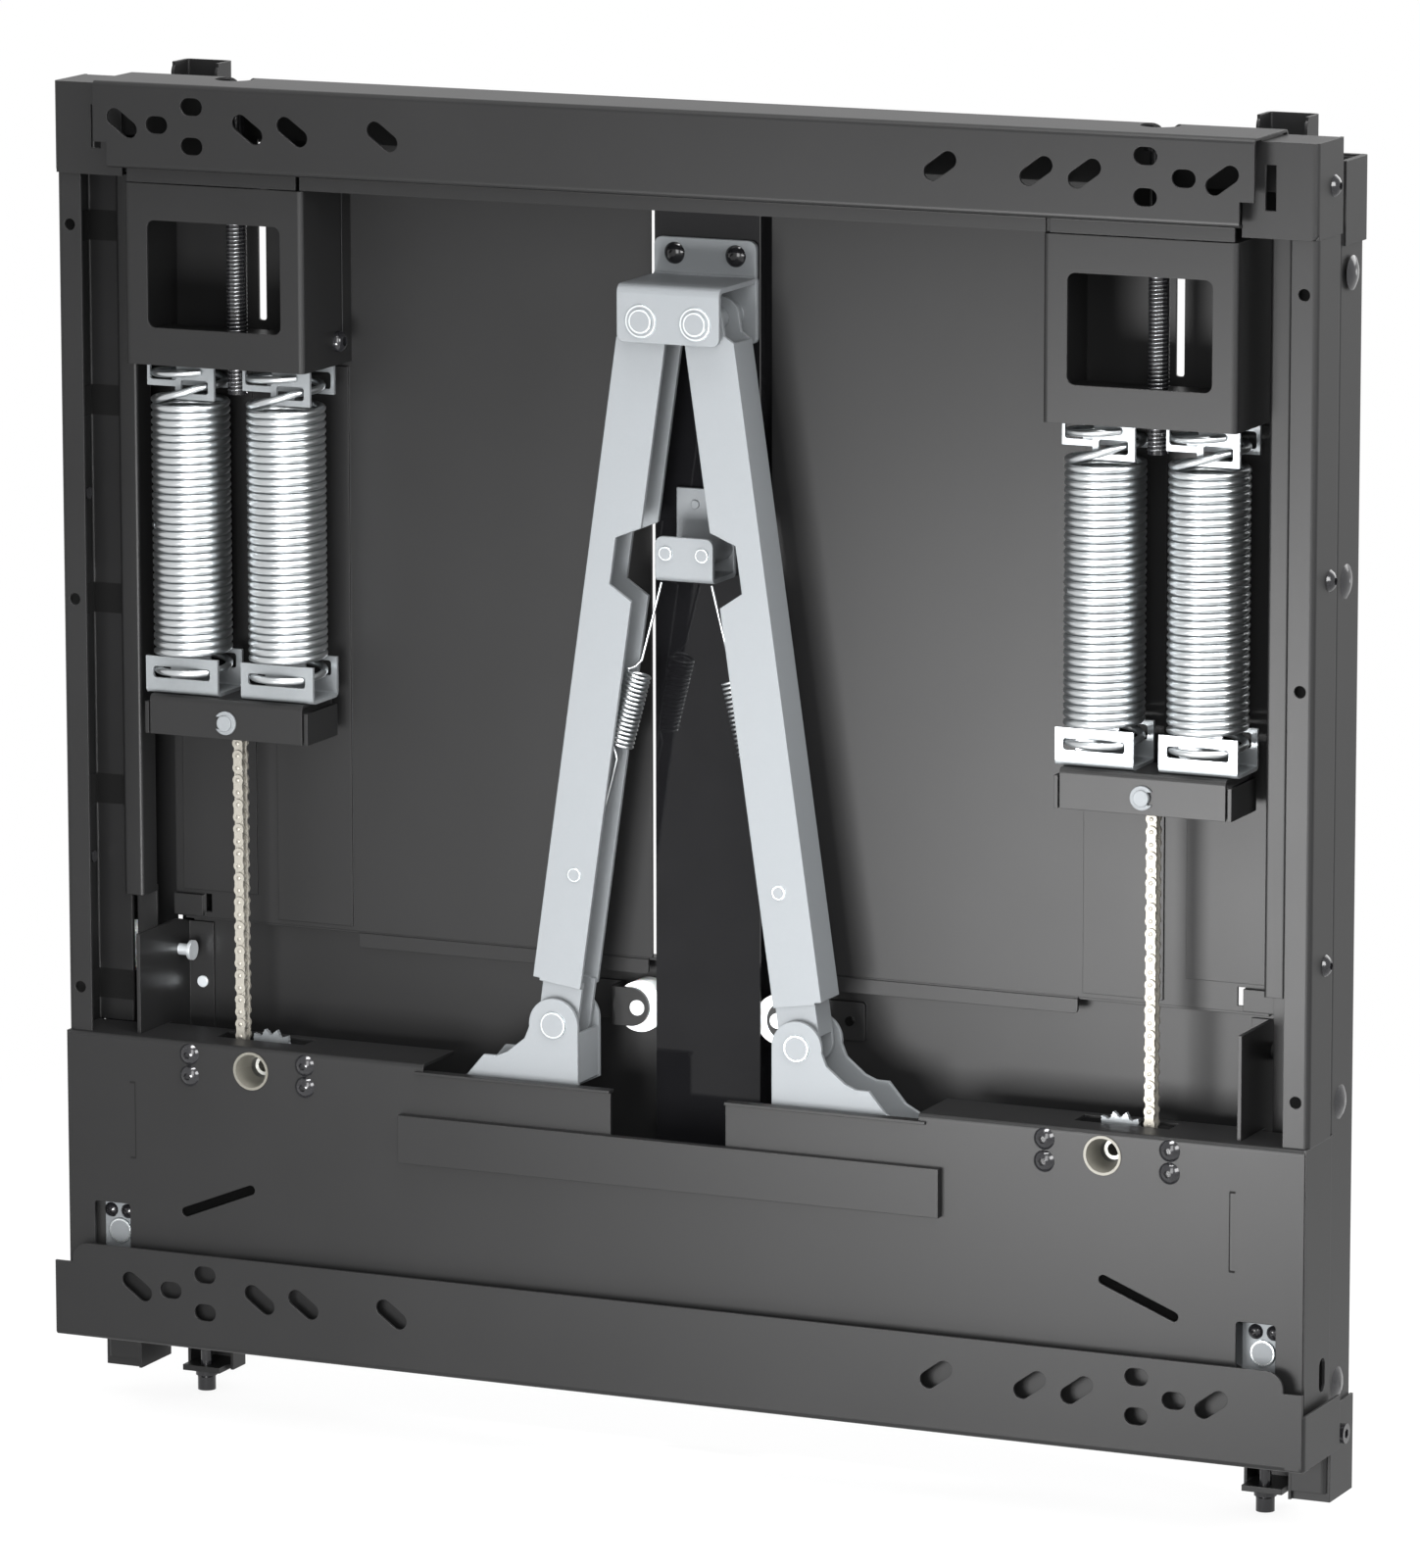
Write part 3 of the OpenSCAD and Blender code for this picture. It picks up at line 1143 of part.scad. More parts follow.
// Roller chain, straight from the yoke pin past the sprocket
chain_d = sprocket_d;
roller_len = 4;
chain_roller_r = 1.65;
link_t = 0.9;
module chain_shape() color(nickel) {
  last = chain_above + chain_below - 1;
  for (d = [chain_d - roller_len / 2 - 2 * link_t, chain_d + roller_len / 2])
    xz(d, d + 2 * link_t) difference() {
      union() {
        for (i = [0:last]) translate([spring_x, chain_end_z + i * chain_pitch]) circle(d = 5.6, $fn = 24);
        translate([spring_x, yoke_pin_z]) circle(r = yoke_pin_r + 2.2);
        translate([spring_x - 2.1, chain_end_z]) square([4.2, yoke_pin_z - chain_end_z]);
      }
      translate([spring_x, yoke_pin_z]) circle(r = yoke_pin_r + 0.1);
    }
  for (i = [0:last]) {
    z = chain_end_z + i * chain_pitch;
    rod_y(spring_x, z, chain_roller_r,
          chain_d - roller_len / 2 - 0.1, chain_d + roller_len / 2 + 0.1, $fn = 24);
    rod_y(spring_x, z, 1.1, chain_d - roller_len / 2 - 2 * link_t - 0.4,
      chain_d + roller_len / 2 + 2 * link_t + 0.4, $fn = 24);
  }
}

module chain_left() on_side(-1) chain_shape();
module chain_right() chain_shape();

// Sprocket with slim teeth between the chain's rollers
tooth_tip = 18.6;
tooth_root = 14.3;
tooth_t = 2.6;
module sprocket_shape() color(nickel) translate([sprocket_x, 0, -sprocket_drop]) difference() {
  union() {
    rod_y(0, 0, tooth_root, sprocket_d - tooth_t / 2, sprocket_d + tooth_t / 2);
    rod_y(0, 0, 9.5, sprocket_d - 3, sprocket_d + 3.4);
    for (i = [0:teeth - 1]) rotate([0, 360 * (i + 0.5) / teeth, 0])
      xz(sprocket_d - tooth_t / 2, sprocket_d + tooth_t / 2)
        polygon([[tooth_root - 1, -1.15], [tooth_tip - 1.2, -0.75], [tooth_tip, -0.35],
          [tooth_tip, 0.35], [tooth_tip - 1.2, 0.75], [tooth_root - 1, 1.15]]);
  }
  rod_y(0, 0, bearing_d / 2 + fit, sprocket_d - 5, sprocket_d + 6);
}

module sprocket_left() on_side(-1) sprocket_shape();
module sprocket_right() sprocket_shape();

// Nylon guide rollers in the grooves of the centre profile
module guide_roller_shape() color(nylon) difference() {
  rod_y(roller_x, -roller_drop, roller_r, roller_front, lower_back_d - run_gap);
  rod_y(roller_x, -roller_drop, 3 + fit, roller_front - 1, lower_back_d + 1);
}

module guide_roller_left() on_side(-1) guide_roller_shape();
module guide_roller_right() guide_roller_shape();

// Side rollers inside the side channels
module side_roller_shape() color(nylon) difference() {
  rod_x(channel_in + 2, channel_out - 4.2, roller_d, -side_roller_drop, side_roller_r);
  rod_x(channel_in, channel_out, roller_d, -side_roller_drop, 3 + fit);
}

module side_roller_left() on_side(-1) side_roller_shape();
module side_roller_right() side_roller_shape();

wall_rails();
levelling_bolts();
side_channel_left();
side_channel_right();
top_cross_member();
bottom_cross_member();
centre_profile();
corner_feet();
foot_screws();
side_caps();
top_bracket();
top_bracket_screws();
stop_bracket();
top_beam();
bottom_beam();
beam_ends();
column_left();
column_right();
inner_rails();
back_plate_left();
back_plate_right();
lower_back_panels();
bottom_panel();
panel_cover();
spring_box_left();
spring_box_right();
sprocket_carriers();
panel_screws();
side_screws();
pivot_plates();
pivot_screws();
guide_plates();
upper_arm_left();
upper_arm_right();
lower_arm_left();
lower_arm_right();
arm_spring_left();
arm_spring_right();
spring_hanger_left();
spring_hanger_right();
spindle_left();
spindle_right();
coil_springs_left();
coil_springs_right();
upper_clips_left();
upper_clips_right();
lower_clips_left();
lower_clips_right();
yoke_left();
yoke_right();
yoke_pin_left();
yoke_pin_right();
chain_left();
chain_right();
sprocket_left();
sprocket_right();
guide_roller_left();
guide_roller_right();
side_roller_left();
side_roller_right();
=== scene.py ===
import json
import math

import bmesh
import bpy
from mathutils import Matrix, Vector


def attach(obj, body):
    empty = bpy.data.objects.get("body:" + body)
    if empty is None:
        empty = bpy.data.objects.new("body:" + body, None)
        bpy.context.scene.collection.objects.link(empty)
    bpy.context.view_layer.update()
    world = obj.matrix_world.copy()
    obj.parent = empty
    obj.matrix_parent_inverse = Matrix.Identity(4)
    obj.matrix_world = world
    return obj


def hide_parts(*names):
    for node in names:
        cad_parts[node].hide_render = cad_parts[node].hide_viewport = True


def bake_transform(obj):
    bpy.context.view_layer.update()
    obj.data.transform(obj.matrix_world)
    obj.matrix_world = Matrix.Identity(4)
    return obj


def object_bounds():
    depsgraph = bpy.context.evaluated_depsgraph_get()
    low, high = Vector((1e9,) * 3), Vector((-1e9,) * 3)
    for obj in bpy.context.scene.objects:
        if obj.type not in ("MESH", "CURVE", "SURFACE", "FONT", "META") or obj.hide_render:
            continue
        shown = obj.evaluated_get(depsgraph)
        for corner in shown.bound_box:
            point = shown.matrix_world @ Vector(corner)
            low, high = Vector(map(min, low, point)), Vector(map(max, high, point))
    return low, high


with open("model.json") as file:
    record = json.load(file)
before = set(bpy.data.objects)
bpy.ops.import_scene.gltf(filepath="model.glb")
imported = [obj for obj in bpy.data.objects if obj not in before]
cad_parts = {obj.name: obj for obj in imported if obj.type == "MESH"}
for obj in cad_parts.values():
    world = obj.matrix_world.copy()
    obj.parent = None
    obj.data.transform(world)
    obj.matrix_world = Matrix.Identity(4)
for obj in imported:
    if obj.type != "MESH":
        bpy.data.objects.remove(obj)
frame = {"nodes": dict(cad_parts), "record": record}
cadLow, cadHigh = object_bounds()
print("frame loaded:", len(frame["nodes"]), "nodes")

mm = 0.001
wallDepth = 96.5  # the display plane stands this far in front of the wall


def at(x, depth, z):
    # a place in metres from millimetres: x, depth behind the display plane, z
    return Vector((x * mm, (depth - wallDepth) * mm, z * mm))


class Wire:
    # one output of a node; arithmetic on it adds Math nodes
    def __init__(self, tree, socket):
        self.tree = tree
        self.socket = socket

    def math(self, operation, *values):
        node = self.tree.nodes.new("ShaderNodeMath")
        node.operation = operation
        for place, value in zip(node.inputs, values):
            if isinstance(value, Wire):
                self.tree.links.new(value.socket, place)
            else:
                place.default_value = value
        return Wire(self.tree, node.outputs[0])

    def __add__(self, other):
        return self.math("ADD", self, other)

    def __sub__(self, other):
        return self.math("SUBTRACT", self, other)

    def __rsub__(self, other):
        return self.math("SUBTRACT", other, self)

    def __mul__(self, other):
        return self.math("MULTIPLY", self, other)

    def ranged(self, low, high):
        # from 0 to 1 moved to the range from low to high
        return self * (high - low) + low

    def under(self, limit):
        return self.math("LESS_THAN", self, limit)

    def over(self, limit):
        return self.math("GREATER_THAN", self, limit)

    def within(self, span):
        # 1 between two places that are given in millimetres
        return self.over(span[0] * mm) * self.under(span[1] * mm)


class Finish:
    # a material with its nodes; an input is given by its name, or by its number as i0, i1 and so on
    def __init__(self, name):
        self.material = bpy.data.materials.new(name)
        self.material.use_nodes = True
        self.tree = self.material.node_tree
        self.shader = self.tree.nodes["Principled BSDF"]
        self.out = self.tree.nodes["Material Output"]

    def node(self, kind, settings=None, output=0, **values):
        made = self.tree.nodes.new(kind)
        for key, value in (settings or {}).items():
            setattr(made, key, value)
        for key, value in values.items():
            numbered = key[0] == "i" and key[1:].isdigit()
            place = made.inputs[int(key[1:]) if numbered else key.replace("_", " ")]
            if isinstance(value, Wire):
                self.tree.links.new(value.socket, place)
            else:
                place.default_value = value
        return Wire(self.tree, made.outputs[output])

    def feed(self, **values):
        for key, value in values.items():
            place = self.shader.inputs[key.replace("_", " ")]
            if isinstance(value, Wire):
                self.tree.links.new(value.socket, place)
            else:
                place.default_value = value

    def place(self):
        return self.node("ShaderNodeTexCoord", output=3)

    def sides(self):
        # x, y and z in metres without their signs, so that left and right share a mark
        alike = self.node("ShaderNodeVectorMath", {"operation": "ABSOLUTE"}, i0=self.place())
        split = self.node("ShaderNodeSeparateXYZ", Vector=alike)
        return [Wire(self.tree, socket) for socket in split.socket.node.outputs]

    def around(self, across, up):
        # distance in metres from a line along y
        x, y, z = self.sides()
        dx, dz = x - across * mm, z - up * mm
        return self.node("ShaderNodeMath", {"operation": "SQRT"}, i0=dx * dx + dz * dz)

    def noise(self, where, scale, detail=2.0, roughness=0.5):
        return self.node("ShaderNodeTexNoise", Vector=where, Scale=scale, Detail=detail,
                         Roughness=roughness)

    def blendColours(self, factor, low, high):
        low, high = [c if isinstance(c, Wire) else (*c, 1) for c in (low, high)]
        return self.node("ShaderNodeMix", {"data_type": "RGBA"}, output=2, i0=factor, i6=low,
                         i7=high)

    def rounded(self, radius):
        return self.node("ShaderNodeBevel", Radius=radius * mm)

    def bump(self, height, strength, distance, over=None):
        more = {"Normal": over} if over else {}
        return self.node("ShaderNodeBump", Strength=strength, Distance=distance, Height=height,
                         **more)


# colour, metal and roughness of what is marked on a finish
coats = {
    "bare zinc": ((0.58, 0.61, 0.63), 0.7, 0.28),
    "pale rivet": ((0.66, 0.68, 0.69), 0.4, 0.35),
    "ear screw": ((0.002, 0.002, 0.002), 0.3, 0.25),
    "cut": ((0.002, 0.002, 0.002), 0.0, 1.0),
    # painted shade inside the columns' holes
    "hole shade": ((0, 0, 0), 0.0, 1.0),
    # painted shadow and painted highlight where the spring boxes' sheets lap
    "lap shadow": ((0.002, 0.002, 0.002), 0.0, 0.5),
    "lap edge": ((0.05, 0.05, 0.052), 0.0, 0.4),
    # painted shade and painted highlight round the bushings' bores
    "bore shade": ((0.02, 0.02, 0.018), 0.2, 0.4),
    "bore highlight": ((0.34, 0.34, 0.32), 0.4, 0.3),
    # painted shade and painted highlight of the rivet heads
    "rivet edge": ((0.20, 0.22, 0.23), 0.8, 0.4),
    "rivet bevel highlight": ((0.62, 0.65, 0.66), 0.9, 0.25),
    "carrier": ((0.014, 0.014, 0.014), 0.0, 0.4),
}


def layers(finish, colour, metal, rough, marks):
    # lays each mark, a mask and the name of its coat, over a finish
    for mask, coat in marks:
        markColour, markMetal, markRough = coats[coat]
        colour = finish.blendColours(mask, colour, markColour)
        metal = mask * (markMetal - metal) + metal
        rough = mask * (markRough - rough) + rough
    finish.feed(Base_Color=colour, Metallic=metal, Roughness=rough)


metals = {
    "zinc": dict(low=(0.127, 0.136, 0.143), high=(0.149, 0.158, 0.165), grain=900.0, metal=0.5,
                 rough=(0.58, 0.66), edge=0.7),
    "bright zinc": dict(low=(0.200, 0.213, 0.222), high=(0.235, 0.249, 0.258), grain=500.0,
                        metal=0.7, rough=(0.26, 0.34)),
    "spring steel": dict(low=(0.47, 0.49, 0.50), high=(0.56, 0.58, 0.59), grain=300.0, metal=1.0,
                         rough=(0.27, 0.33)),
    "thread steel": dict(low=(0.13, 0.13, 0.135), high=(0.20, 0.20, 0.205), grain=900.0, metal=0.9,
                         rough=(0.20, 0.28)),
    "nickel": dict(low=(0.20, 0.19, 0.166), high=(0.28, 0.267, 0.237), grain=800.0, metal=0.8,
                   rough=(0.48, 0.58)),
    "black oxide": dict(low=(0.005, 0.005, 0.006), high=(0.010, 0.010, 0.011), grain=900.0,
                        metal=0.1, rough=(0.12, 0.20)),
    "sintered bushing": dict(low=(0.075, 0.072, 0.060), high=(0.105, 0.10, 0.085), grain=1400.0,
                             metal=0.3, rough=(0.40, 0.50)),
}
fineGrain = dict(detail=3.0, roughness=0.6)
broadGrain = dict(scale=9.0, detail=2.0)
surface = dict(strength=0.08, distance=0.0002)  # the relief of metal and paint


def metalFinish(name, marks=None):
    # two close tones mixed by a fine and a broad noise, which also move roughness and bump
    m = metals[name]
    finish = Finish(name if marks is None else name + " with marks")
    fine = finish.noise(finish.place(), m["grain"], **fineGrain)
    broad = finish.noise(finish.place(), **broadGrain)
    tone = fine * 0.5 + broad * 0.5
    layers(finish, finish.blendColours(tone, m["low"], m["high"]), m["metal"],
           tone.ranged(*m["rough"]), marks(finish) if marks else [])
    soft = finish.rounded(m["edge"]) if "edge" in m else None
    finish.feed(Normal=finish.bump(fine, **surface, over=soft))
    return finish.material


paint = dict(low=(0.0045, 0.0045, 0.0046), high=(0.0060, 0.0060, 0.0062), rough=(0.40, 0.45),
             gloss=0.25, peel=1500.0, mottle=12.0, mottleDetail=3.0, edge=0.5)


def charcoalPaint(name, marks=None):
    # satin powder coat: a fine orange peel with faint mottling, and any marks laid over it
    finish = Finish(name)
    where = finish.place()
    peel = finish.noise(where, paint["peel"])
    mottle = finish.noise(where, paint["mottle"], paint["mottleDetail"])
    layers(finish, finish.blendColours(mottle, paint["low"], paint["high"]), 0.0,
           mottle.ranged(*paint["rough"]), marks(finish) if marks else [])
    finish.feed(Normal=finish.bump(peel, **surface, over=finish.rounded(paint["edge"])),
                Specular_IOR_Level=paint["gloss"])
    return finish.material


# places of the marks in millimetres; y is measured from the wall towards the front
def guideMarks(finish):
    # the axle bolt and the rivet that stand off the guide plates are bare zinc
    plate = dict(face=300.95, front=23.7)
    x, y, z = finish.sides()
    return [(x.under(plate["face"] * mm) * y.over(plate["front"] * mm), "bare zinc")]


def earMarks(finish):
    # a pale rivet in each roller ear and a black screw in its foot
    rivet = dict(x=(34, 43), front=38.6)
    screw = dict(x=(69, 75), z=(139, 146), front=24.2)
    x, y, z = finish.sides()
    return [(x.within(rivet["x"]) * y.over(rivet["front"] * mm), "pale rivet"),
            (x.within(screw["x"]) * y.over(screw["front"] * mm) * z.within(screw["z"]), "ear screw")]


def foldMarks(finish):
    # a lanced line with two short ticks near each end of the front panel
    line = dict(x=(300.3, 300.9), z=(195, 235), front=84.5)
    ticks = dict(x=(300.6, 303.6), upper=(194.6, 195.7), lower=(234.2, 235.3))
    x, y, z = finish.sides()
    front = y.over(line["front"] * mm)
    ends = z.within(ticks["upper"]) + z.within(ticks["lower"])
    return [(front * (x.within(line["x"]) * z.within(line["z"])), "cut"),
            (front * (x.within(ticks["x"]) * ends), "cut")]


def holeMarks(finish):
    # painted shade: the part of each column that shows through the small holes of its front face is
    # painted black
    hole = dict(x=(312, 338.6), y=(52.5, 81.9), top=(234, 249.6), middle=(42, 57.6), low=(144.3, 160))
    x, y, z = finish.sides()
    near = z.within(hole["top"]) + z.within(hole["middle"]) + z.within(hole["low"])
    return [(near * y.within(hole["y"]) * x.within(hole["x"]), "hole shade")]


def boxMarks(finish):
    # the lapped sheet on the inner side of each spring box, drawn as a painted shadow line and a
    # painted highlight line beside it
    lap = dict(face=200.4, z=(191, 264), shadow=(43.1, 44.4), edge=(42.6, 43.1))
    x, y, z = finish.sides()
    side = x.under(lap["face"] * mm) * z.within(lap["z"])
    return [(side * y.within(lap["shadow"]), "lap shadow"), (side * y.within(lap["edge"]), "lap edge")]


def bushingMarks(finish):
    # a dark groove of painted shade and a bright ring of painted highlight round the bore
    bore = dict(x=233.725, z=183.2, ring=(3.3, 5.0), groove=(5.0, 5.7))
    away = finish.around(bore["x"], bore["z"])
    return [(away.within(bore["groove"]), "bore shade"), (away.within(bore["ring"]), "bore highlight")]


# x, z and radius of the rivets of each kind, their edge, and the y that they lie in front of
rivets = {
    "top bracket": dict(places=[(14.7, 213.9, 8.6), (14.7, 213.9, 6.4)], edge=0.5, front=80),
    "stop bracket": dict(places=[(9.9, 95.8, 3.9)], edge=0.4, front=60),
    "upper arm": dict(places=[(56.0, 68.7, 3.9)], edge=0.4, front=70),
    "knee": dict(places=[(66.8, 146.1, 7.1)], edge=0.5, front=60),
    "pivot plate": dict(places=[(315, 276.4, 6.7)], edge=0.5, front=70),
}
bevelReach = 2.4  # in edges from the rim to the inside of the bevel


def rings(finish, kind):
    # rivet heads painted on flat metal: a dark edge of painted shade with a bright bevel of painted
    # highlight inside it
    c = rivets[kind]
    x, y, z = finish.sides()
    forward = y.over(c["front"] * mm)
    found = []
    for across, up, radius in c["places"]:
        away = finish.around(across, up)
        rim, inside = radius - c["edge"], radius - bevelReach * c["edge"]
        found += [(forward * away.within((rim, radius)), "rivet edge"),
                  (forward * away.within((inside, rim)), "rivet bevel highlight")]
    return found


def ringMarks(kind):
    return lambda finish: rings(finish, kind)


def plateMarks(finish):
    # a painted rivet ring of shade and highlight, and the dark carrier beside the plate in the lower
    # corner windows
    carrier = dict(x=323.9, front=70)
    x, y, z = finish.sides()
    beside = x.over(carrier["x"] * mm) * y.over(carrier["front"] * mm)
    return rings(finish, "pivot plate") + [(beside, "carrier")]


profileLook = dict(low=(0.003, 0.003, 0.0034), high=(0.005, 0.005, 0.0055), ripple=30.0,
                   rough=(0.05, 0.08), gloss=0.22, strength=0.02, distance=0.0003)
shadeBlackLook = dict(low=(0.001, 0.001, 0.001), high=(0.002, 0.002, 0.002), grain=600.0, rough=0.9)
nylonLook = dict(low=(0.84, 0.84, 0.83), high=(0.90, 0.90, 0.89), grain=200.0, rough=(0.35, 0.45),
                 inside=0.1, strength=0.05, distance=0.0002)


def glossFinish():
    c = profileLook
    finish = Finish("gloss black")
    ripple = finish.noise(finish.place(), c["ripple"])
    finish.feed(Base_Color=finish.blendColours(ripple, c["low"], c["high"]),
                Roughness=ripple.ranged(*c["rough"]), Specular_IOR_Level=c["gloss"],
                Normal=finish.bump(ripple, c["strength"], c["distance"]))
    return finish.material


# a flat black for the painted shade sheets behind the front panel's slots
def shadeBlackFinish():
    c = shadeBlackLook
    finish = Finish("painted shade black")
    grain = finish.noise(finish.place(), c["grain"])
    finish.feed(Base_Color=finish.blendColours(grain, c["low"], c["high"]), Roughness=c["rough"],
                Specular_IOR_Level=0.0)
    return finish.material


def nylonFinish():
    c = nylonLook
    finish = Finish("white nylon")
    soft = finish.noise(finish.place(), c["grain"])
    finish.feed(Base_Color=finish.blendColours(soft, c["low"], c["high"]),
                Roughness=soft.ranged(*c["rough"]), Subsurface_Weight=c["inside"],
                Normal=finish.bump(soft, c["strength"], c["distance"]))
    return finish.material


charcoal = charcoalPaint("charcoal paint")
zinc, zincBright = metalFinish("zinc"), metalFinish("bright zinc")
springSteel, nickel = metalFinish("spring steel"), metalFinish("nickel")
blackScrew, threadSteel = metalFinish("black oxide"), metalFinish("thread steel")
finishes = {
    "charcoal_paint": charcoal, "gloss_black": glossFinish(), "zinc_plate": zinc,
    "spring_steel": springSteel, "nickel_chain": nickel, "black_screws": blackScrew,
    "white_nylon": nylonFinish(),
}
slotOf = {s["node"]: s["material_slot"] for s in frame["record"]["subparts"]}
for name, node in frame["nodes"].items():
    node.data.materials.clear()
    node.data.materials.append(finishes[slotOf[name]])
# pieces that carry marks, or that the photo shows in another finish than their slot's
own = {
    "top_bracket": metalFinish("zinc", ringMarks("top bracket")),
    "stop_bracket": metalFinish("zinc", ringMarks("stop bracket")),
    "pivot_plates": metalFinish("zinc", plateMarks),
    "upper_arm_left": metalFinish("zinc", ringMarks("upper arm")),
    "lower_arm_left": metalFinish("zinc", ringMarks("knee")),
    "guide_plates": charcoalPaint("guide plate paint", guideMarks),
    "lower_back_panels": charcoalPaint("roller ear paint", earMarks),
    "bottom_panel": charcoalPaint("front panel paint", foldMarks),
    "column_left": charcoalPaint("column paint", holeMarks),
    "spring_box_left": charcoalPaint("spring box paint", boxMarks),
    "sprocket_carriers": metalFinish("sintered bushing", bushingMarks),
    "levelling_bolts": blackScrew,
}
for name in ("column", "spring_box", "upper_arm", "lower_arm"):
    own[name + "_right"] = own[name + "_left"]
for side in ("left", "right"):
    own["upper_clips_" + side] = own["lower_clips_" + side] = zincBright
for name, finish in own.items():
    frame["nodes"][name].data.materials[0] = finish
print("finishes set")


def newTree(name, inputs):
    # an empty Geometry Nodes tree with further inputs, given as name and kind
    tree = bpy.data.node_groups.new(name, "GeometryNodeTree")
    face = tree.interface
    face.new_socket("Geometry", in_out="INPUT", socket_type="NodeSocketGeometry")
    names = {}
    for key, kind in inputs.items():
        socket = face.new_socket(key, in_out="INPUT", socket_type="NodeSocket" + kind)
        names[key] = socket.identifier
    face.new_socket("Geometry", in_out="OUTPUT", socket_type="NodeSocketGeometry")
    return tree, names


def coated(tree, start, last):
    # makes the instances real, gives them the skin and sends them out
    nodes, links = tree.nodes, tree.links
    real, coat = nodes.new("GeometryNodeRealizeInstances"), nodes.new("GeometryNodeSetMaterial")
    end = nodes.new("NodeGroupOutput")
    links.new(last, real.inputs["Geometry"])
    links.new(real.outputs["Geometry"], coat.inputs["Geometry"])
    links.new(start.outputs["Skin"], coat.inputs["Material"])
    links.new(coat.outputs["Geometry"], end.inputs["Geometry"])


def wireTree(name):
    # sweeps a round section along every edge chain of the mesh
    tree, names = newTree(name, {"Wire Radius": "Float", "Sides": "Int", "Skin": "Material"})
    nodes, links = tree.nodes, tree.links
    start = nodes.new("NodeGroupInput")
    curve = nodes.new("GeometryNodeMeshToCurve")
    ring = nodes.new("GeometryNodeCurvePrimitiveCircle")
    sweep = nodes.new("GeometryNodeCurveToMesh")
    smooth = nodes.new("GeometryNodeSetShadeSmooth")
    sweep.inputs["Fill Caps"].default_value = True
    links.new(start.outputs["Geometry"], curve.inputs["Mesh"])
    links.new(start.outputs["Sides"], ring.inputs["Resolution"])
    links.new(start.outputs["Wire Radius"], ring.inputs["Radius"])
    links.new(curve.outputs["Curve"], sweep.inputs["Curve"])
    links.new(ring.outputs["Curve"], sweep.inputs["Profile Curve"])
    links.new(sweep.outputs["Mesh"], smooth.inputs["Geometry"])
    coated(tree, start, smooth.outputs["Geometry"])
    return tree, names


def scatterTree(name):
    # puts one item on every point of the mesh
    tree, names = newTree(name, {"Item": "Object", "Skin": "Material"})
    nodes, links = tree.nodes, tree.links
    start = nodes.new("NodeGroupInput")
    info = nodes.new("GeometryNodeObjectInfo")
    put = nodes.new("GeometryNodeInstanceOnPoints")
    links.new(start.outputs["Item"], info.inputs["Object"])
    links.new(start.outputs["Geometry"], put.inputs["Points"])
    links.new(info.outputs["Geometry"], put.inputs["Instance"])
    coated(tree, start, put.outputs["Instances"])
    return tree, names


wireNodes, wireInputs = wireTree("wire along path")
scatterNodes, scatterInputs = scatterTree("items on points")


def plain(source, name):
    # turns an object with modifiers into one plain mesh object
    view = bpy.context.evaluated_depsgraph_get()
    mesh = bpy.data.meshes.new_from_object(source.evaluated_get(view))
    mesh.name = name
    old = source.data
    source.modifiers.clear()
    source.data = mesh
    source.name = name
    bpy.data.meshes.remove(old)
    return source


def newObject(name, verts, edges=(), faces=()):
    mesh = bpy.data.meshes.new(name)
    mesh.from_pydata(verts, edges, faces)
    made = bpy.data.objects.new(name, mesh)
    bpy.context.scene.collection.objects.link(made)
    return made


def wire(name, points, radius, skin, sides=12):
    made = newObject(name, points, [(i, i + 1) for i in range(len(points) - 1)])
    step = made.modifiers.new("wire", "NODES")
    step.node_group = wireNodes
    step[wireInputs["Wire Radius"]] = radius
    step[wireInputs["Sides"]] = sides
    step[wireInputs["Skin"]] = skin
    return plain(made, name)


def scatter(name, item, spots, skin):
    made = newObject(name, spots)
    step = made.modifiers.new("items", "NODES")
    step.node_group = scatterNodes
    step[scatterInputs["Item"]] = item
    step[scatterInputs["Skin"]] = skin
    plain(made, name)
    bpy.data.objects.remove(item)
    return made


def lathe(profile, steps, hollow=False):
    # a turned shape about y from (radius, y) pairs, with end caps or, if hollow, closed on itself
    verts, faces = [], []
    for r, y in profile:
        for k in range(steps):
            a = 2 * math.pi * k / steps
            verts.append((r * math.cos(a), y, r * math.sin(a)))
    rows = len(profile)
    for i in range(rows - 1):
        for k in range(steps):
            a, b = i * steps + k, i * steps + (k + 1) % steps
            faces.append((a, b, b + steps, a + steps))
    last = (rows - 1) * steps
    if hollow:
        faces += [(last + k, last + (k + 1) % steps, (k + 1) % steps, k) for k in range(steps)]
    else:
        faces.append(tuple(range(steps - 1, -1, -1)))
        faces.append(tuple(last + k for k in range(steps)))
    return verts, faces


weldGap = 1e-6


def outward(made):
    # joins what meets and turns all faces outward
    work = bmesh.new()
    work.from_mesh(made.data)
    bmesh.ops.remove_doubles(work, verts=work.verts, dist=weldGap)
    bmesh.ops.recalc_face_normals(work, faces=work.faces)
    work.to_mesh(made.data)
    work.free()
    return made


def smoothByAngle(made, degrees=35):
    for face in made.data.polygons:
        face.use_smooth = True
    made.data.set_sharp_from_angle(angle=math.radians(degrees))
    return made


# heights and radii in millimetres; the places along the wire are counted in turns
spring = dict(x=250.0, gap=54.2, meanRadius=18.4, wire=3.72, depth=35.5, coils=34, perTurn=28,
              hookLow=18.4, bodyLow=28.2, bodyHigh=157.3, hookHigh=165.1, end=173.0,
              first=0.02, flat=0.37, lowTurns=1.13, climb=0.24, highTurns=1.24)


